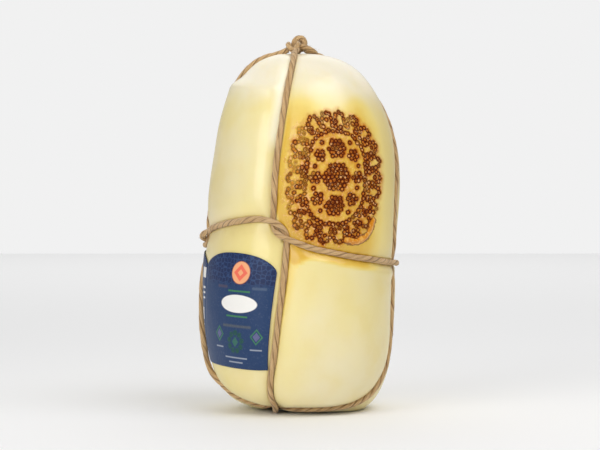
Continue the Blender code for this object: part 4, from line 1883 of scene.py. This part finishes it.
@dataclass(frozen=True)
class LabelFinish:
    """Navy printed paper with a round seal, a pale oval, a wreath and plain bars."""

    navy: Colour = tone("#1d3a64")
    deep: Colour = tone("#132650")
    net: Colour = tone("#34507e")
    white: Colour = tone("#f3f1ec")
    cream: Colour = tone("#c9d0da")
    green: Colour = tone("#3c7d50")
    dim_green: Colour = tone("#17503a")
    peach: Colour = tone("#f4ad7c")
    coral: Colour = tone("#f07058")
    rust: Colour = tone("#9c4a34")
    violet: Colour = tone("#6d6c98")
    stone: Colour = tone("#6f6f5c")
    earth: Colour = tone("#6c5550")
    slate: Colour = tone("#65768b")
    seal: Pair = (38.0, 23.4)
    plate: Pair = (38.0, 4.6)
    plate_lines: float = 7.6
    wreath: Pair = (38.0, -18.6)
    leaves: int = 9
    badges: tuple[Pair, ...] = ((22.6, -14.6), (53.6, -14.6))
    bars: tuple[tuple[Pair, float], ...] = (
        ((38.0, -28.4), 19.0), ((38.0, -31.2), 12.0), ((53.6, -22.6), 8.0), ((22.6, -22.6), 8.0))
    side_plates: tuple[tuple[Pair, Pair], ...] = (
        ((-5.4, 20.6), (7.2, 6.4)), ((-4.6, 11.4), (5.6, 1.2)), ((-4.4, 8.2), (5.2, 1.2)),
        ((-4.2, 5.0), (4.8, 1.2)), ((-6.6, -5.0), (4.4, 7.6)))
    side_bars: int = 8

    def material(self, place: Callable[[Graph], Socket]) -> bpy.types.Material:
        """Builds the label's material.

        Args:
            place: Gives the socket that holds the label's own millimetres.

        Returns:
            The material.
        """
        material, graph, shader = new_material("label_paper")
        x, y, _ = graph.split(place(graph))
        sheet = Sheet(graph, x, y, self.navy)
        self._print_front(sheet)
        self._print_wreath(sheet)
        self._print_side(sheet)
        where = graph.place()
        grain = specks(graph, where, 900.0, 0.5, 0.8)
        sheet.ink(grain.outputs["Mask"], self.cream, 0.05)
        graph.feed(shader.inputs["Base Color"], sheet.colour)
        height = graph.math("ADD", graph.noise(where, 45.0, 2.0),
                            graph.times(grain.outputs["Soft"], 0.06))
        graph.feed(shader.inputs["Normal"], graph.bump(height, 0.0008, 0.7))
        graph.feed(shader.inputs["Roughness"], graph.math(
            "ADD", 0.38, graph.times(graph.noise(where, 80.0, 2.0), 0.14)))
        give_constants(shader, {"Coat Weight": 0.05, "Coat Roughness": 0.25,
                                "Specular IOR Level": 0.3})
        return material

    def _print_front(self, sheet: Sheet) -> None:
        """Prints the front panel's fields, from the ground up.

        Args:
            sheet: The label's face.
        """
        graph = sheet.graph
        # The arch is darker than the ground, with a net of small cells in dim lines.
        net = graph.add("ShaderNodeTexVoronoi", feature="DISTANCE_TO_EDGE")
        give_constants(net, {"Scale": 0.34, "Randomness": 0.55})
        graph.feed(net.inputs["Vector"], sheet.flat)
        threads = graph.without(graph.ease(0.04, 0.12, net.outputs["Distance"]))
        wave = graph.times(graph.math("SINE", graph.times(sheet.x, 1.1)), 0.8)
        arch = graph.ease(15.6, 17.4, graph.math("ADD", sheet.y, wave))
        sheet.ink(arch, self.deep)
        sheet.ink(graph.times(threads, arch), self.net, 0.6)
        # The round seal on top: a peach disc that holds a coral lozenge with a peach eye.
        for half, ink in ((7.0, self.rust), (6.7, self.peach)):
            sheet.ink(sheet.oval(self.seal, (half, half)), ink)
        for half, ink in ((5.2, self.coral), (2.1, self.peach)):
            sheet.ink(sheet.lozenge(self.seal, (half, half)), ink)
        # The plain plate: a pale oval between thin green lines.
        across, up = self.plate
        sheet.ink(sheet.oval(self.plate, (14.2, 5.4)), self.white)
        for line in (self.plate_lines, -self.plate_lines):
            sheet.ink(sheet.block((across, up + line), (17.0, 1.0)), self.green)
        # Thin pale bars low on the panel, and three broader dim ones.
        for middle, width in self.bars:
            sheet.ink(sheet.block(middle, (width, 0.7), 0.4), self.cream, 0.6)
        for middle, width, ink in (
                ((23.6, 14.4), 9.5, self.earth), ((52.4, 14.4), 9.5, self.slate),
                ((38.0, -9.0), 23.0, self.stone)):
            sheet.ink(sheet.block(middle, (width, 1.5), 0.7), ink, 0.42)
        # Two small badges beside the wreath: violet lozenges in thin green ones.
        for badge in self.badges:
            rim = graph.math("SUBTRACT", sheet.lozenge(badge, (4.4, 5.0)),
                             sheet.lozenge(badge, (3.3, 3.8)), clamp=True)
            sheet.ink(rim, self.green, 0.85)
            sheet.ink(sheet.lozenge(badge, (2.5, 2.9)), self.violet, 0.7)

    def _print_wreath(self, sheet: Sheet) -> None:
        """Prints a dim round wreath of leaves, low in the middle of the front panel.

        Args:
            sheet: The label's face.
        """
        graph, masks = sheet.graph, []
        for k in range(self.leaves):
            turn = 2 * math.pi * k / self.leaves
            place = (self.wreath[0] + 5.2 * math.sin(turn), self.wreath[1] + 5.6 * math.cos(turn))
            masks.append(sheet.oval(place, (1.7, 1.7), 0.4))
        mask = reduce(lambda first, second: graph.math("MAXIMUM", first, second), masks)
        rough = graph.ease(0.3, 0.55, graph.noise(sheet.flat, 1.3, 2.0))
        sheet.ink(graph.times(mask, rough), self.dim_green)
        sheet.ink(sheet.lozenge(self.wreath, (2.6, 3.2), 0.2), self.green, 0.55)

    def _print_side(self, sheet: Sheet) -> None:
        """Prints the side panel: plain pale plates and short pale bars.

        Args:
            sheet: The label's face.
        """
        bars = [((-13.0, -12.0 - 2.6 * k), (17.0 - 3.0 * (k % 3), 0.7))
                for k in range(self.side_bars)]
        for middle, size in (*self.side_plates, *bars):
            sheet.ink(sheet.block(middle, size, 0.3), self.white, 0.9)


@dataclass
class Label:
    """The paper label: an arched front panel and the near part of a side panel."""

    form: CheeseForm
    routes: StringRoutes
    finish: LabelFinish = field(default_factory=LabelFinish)
    paper: float = 0.28
    lift: float = 0.62
    width: float = 61.5
    height: float = 70.2
    arch: float = 10.5
    side_width: float = 61.5 * 6 / 14
    side_arch: float = 0.8
    arch_powers: Pair = (2.1, 2.6)
    arch_round: float = 0.68
    lean: float = 7.5
    drop: float = 0.04
    azimuth: float = -73.5
    middle_z: float = 65.5
    fold_depth: float = 0.35
    fold_width: float = 1.2
    columns: int = 100
    rows: int = 80

    def _arch_top(self, across: Array) -> Array:
        """Draws a panel's upper edge.

        Args:
            across: Places across the panel, from -1 to 1.

        Returns:
            The edge's height above the panel's straight sides.
        """
        across = np.clip(across, -1, 1)
        power = np.where(across < 0, *self.arch_powers)
        return self.arch * (1 - np.abs(across) ** power) ** self.arch_round

    def _points(self, x: Array, v: Array) -> tuple[Array, Array]:
        """Bends the flat label over the cheese.

        Args:
            x: Millimetres right of the seam between the panels.
            v: 0 at the foot to 1 at the top edge.

        Returns:
            The points, and their flat (x, y, 0) on the print.
        """
        across = np.where(x < 0, 1 + 2 * x / self.width, 2 * x / self.width - 1)
        rise = self._arch_top(across) * np.where(x < 0, self.side_arch, 1.0)
        y = v * (self.height - self.arch + rise) - self.height / 2
        along = x + y * math.tan(math.radians(self.lean))
        turn = math.radians(self.azimuth) + along / self.form.radius
        point, normal = self.form.skin(turn, self.form.s_at(self.middle_z) + y - x * self.drop)
        fold = self.fold_depth * bell(x, 0.0, self.fold_width)
        lift = self.routes.relief(point) + self.lift - fold
        return point + normal * lift[:, None], np.stack([x, y, np.zeros_like(x)], -1)

    def build(self) -> bpy.types.Object:
        """Bends the sheet, thickens it and prints it.

        Returns:
            The finished piece.
        """
        deselect_all()
        bpy.ops.mesh.primitive_grid_add(x_subdivisions=self.columns, y_subdivisions=self.rows,
                                        size=1.0)
        piece = bpy.context.active_object
        piece.name = "label_sheet"
        mesh = piece.data
        flat = coordinates(mesh)
        x = (flat[:, 0] + 0.5) * (self.side_width + self.width) - self.side_width
        places, print_mm = self._points(x, flat[:, 1] + 0.5)
        move_points(mesh, places)
        give_values(mesh, "print_mm", print_mm)
        paper = piece.modifiers.new("paper", "SOLIDIFY")
        paper.thickness, paper.offset = self.paper * MM, 1.0
        bpy.ops.object.modifier_apply(modifier=paper.name)
        mesh.shade_smooth()
        mesh.materials.append(self.finish.material(
            lambda graph: graph.attribute("print_mm", "Vector")))
        fit_out(piece, "label")
        return piece


# ---------------------------------------------------------------------------------------
# The studio
# ---------------------------------------------------------------------------------------


@dataclass(frozen=True)
class SoftLight:
    """One soft box: where it hangs, how wide and how strong it is."""

    name: str
    place: Triple
    size: Pair
    power: float
    colour: Triple = (1.0, 1.0, 1.0)
    aim: Triple = (0.0, 0.0, MIDDLE_HEIGHT)

    def hang(self) -> None:
        """Hangs the light, turned towards its aim."""
        data = bpy.data.lights.new(self.name, "AREA")
        data.shape, data.energy, data.color = "RECTANGLE", self.power, self.colour
        data.size, data.size_y = self.size
        lamp = bpy.data.objects.new(self.name, data)
        bpy.context.scene.collection.objects.link(lamp)
        lamp.location = self.place
        way = Vector(self.aim) - Vector(self.place)
        lamp.rotation_euler = way.to_track_quat("-Z", "Y").to_euler()


@dataclass
class Studio:
    """The pale floor, the soft lights and the camera.

    The camera sees the backdrop's strength. The cheese is lit by the surround's, which fades
    by the side shade towards the left and the right, between the two side limits.
    """

    distance: float = 1.2
    elevation: float = 1.0
    lens: float = 114.9
    sensor: float = 36.0
    surround: float = 0.56
    side_shade: float = 0.34
    side_limits: Pair = (0.45, 0.95)
    backdrop: float = 0.88
    floor_size: float = 6.0
    floor_colour: Colour = (0.93, 0.93, 0.93, 1.0)
    floor_roughness: float = 0.7
    lights: tuple[SoftLight, ...] = (
        SoftLight("top_box", (0.50, -0.46, 1.15), (1.00, 0.70), 6.4, (1.0, 0.99, 0.99)),
        SoftLight("left_box", (-0.88, -1.12, 0.55), (0.9, 0.9), 7.8),
        SoftLight("back_box", (0.0, 2.4, 1.4), (3.6, 3.0), 22.0, aim=(0.0, 2.39, 0.0)),
    )

    def build(self) -> None:
        """Sets up the floor, the background, the lights and the camera."""
        self._lay_floor()
        self._light_surround()
        for light in self.lights:
            light.hang()
        self._set_camera()

    def _lay_floor(self) -> None:
        """Lays the plain floor."""
        deselect_all()
        bpy.ops.mesh.primitive_plane_add(size=self.floor_size, location=(0.0, 0.0, 0.0))
        floor = bpy.context.active_object
        floor.name = "floor"
        material, _, shader = new_material("pale_floor")
        give_constants(shader, {"Base Color": self.floor_colour,
                                "Roughness": self.floor_roughness})
        floor.data.materials.append(material)

    def _light_surround(self) -> None:
        """Makes the pale background and the soft light all round."""
        world = bpy.data.worlds.new("studio")
        world.use_nodes = True
        back = world.node_tree.nodes["Background"]
        give_constants(back, {"Color": (1.0, 1.0, 1.0, 1.0)})
        graph = Graph(world.node_tree)
        seen = graph.add("ShaderNodeLightPath").outputs["Is Camera Ray"]
        way = graph.add("ShaderNodeTexCoord").outputs["Generated"]
        side = graph.ease(*self.side_limits, graph.math("ABSOLUTE", graph.split(way)[0]))
        around = graph.math("SUBTRACT", self.surround, graph.times(side, self.side_shade))
        extra = graph.times(seen, graph.math("SUBTRACT", self.backdrop, around))
        graph.feed(back.inputs["Strength"], graph.math("ADD", around, extra))
        bpy.context.scene.world = world
        bpy.context.scene.view_settings.view_transform = "Standard"

    def _set_camera(self) -> None:
        """Sets the camera at the photo's angle."""
        data = bpy.data.cameras.new("camera")
        data.sensor_width, data.lens = self.sensor, self.lens
        camera = bpy.data.objects.new("camera", data)
        bpy.context.scene.collection.objects.link(camera)
        tilt = math.radians(self.elevation)
        camera.location = Vector((0.0, 0.0, MIDDLE_HEIGHT)) + self.distance * Vector(
            (0.0, -math.cos(tilt), math.sin(tilt)))
        camera.rotation_euler = (math.pi / 2 - tilt, 0.0, 0.0)
        bpy.context.scene.camera = camera


def main() -> None:
    """Builds the cheese, its label, its strings and the studio, and reports each piece."""
    logging.basicConfig(level=logging.INFO, format="%(name)s: %(message)s")
    form = CheeseForm()
    routes = StringRoutes(form)
    Studio().build()
    Cheese(form, routes, BurntMark(form)).build()
    Label(form, routes).build()
    binding = Binding(form, routes, Twine())
    binding.strings()
    binding.knot()


if __name__ == "__main__":
    main()
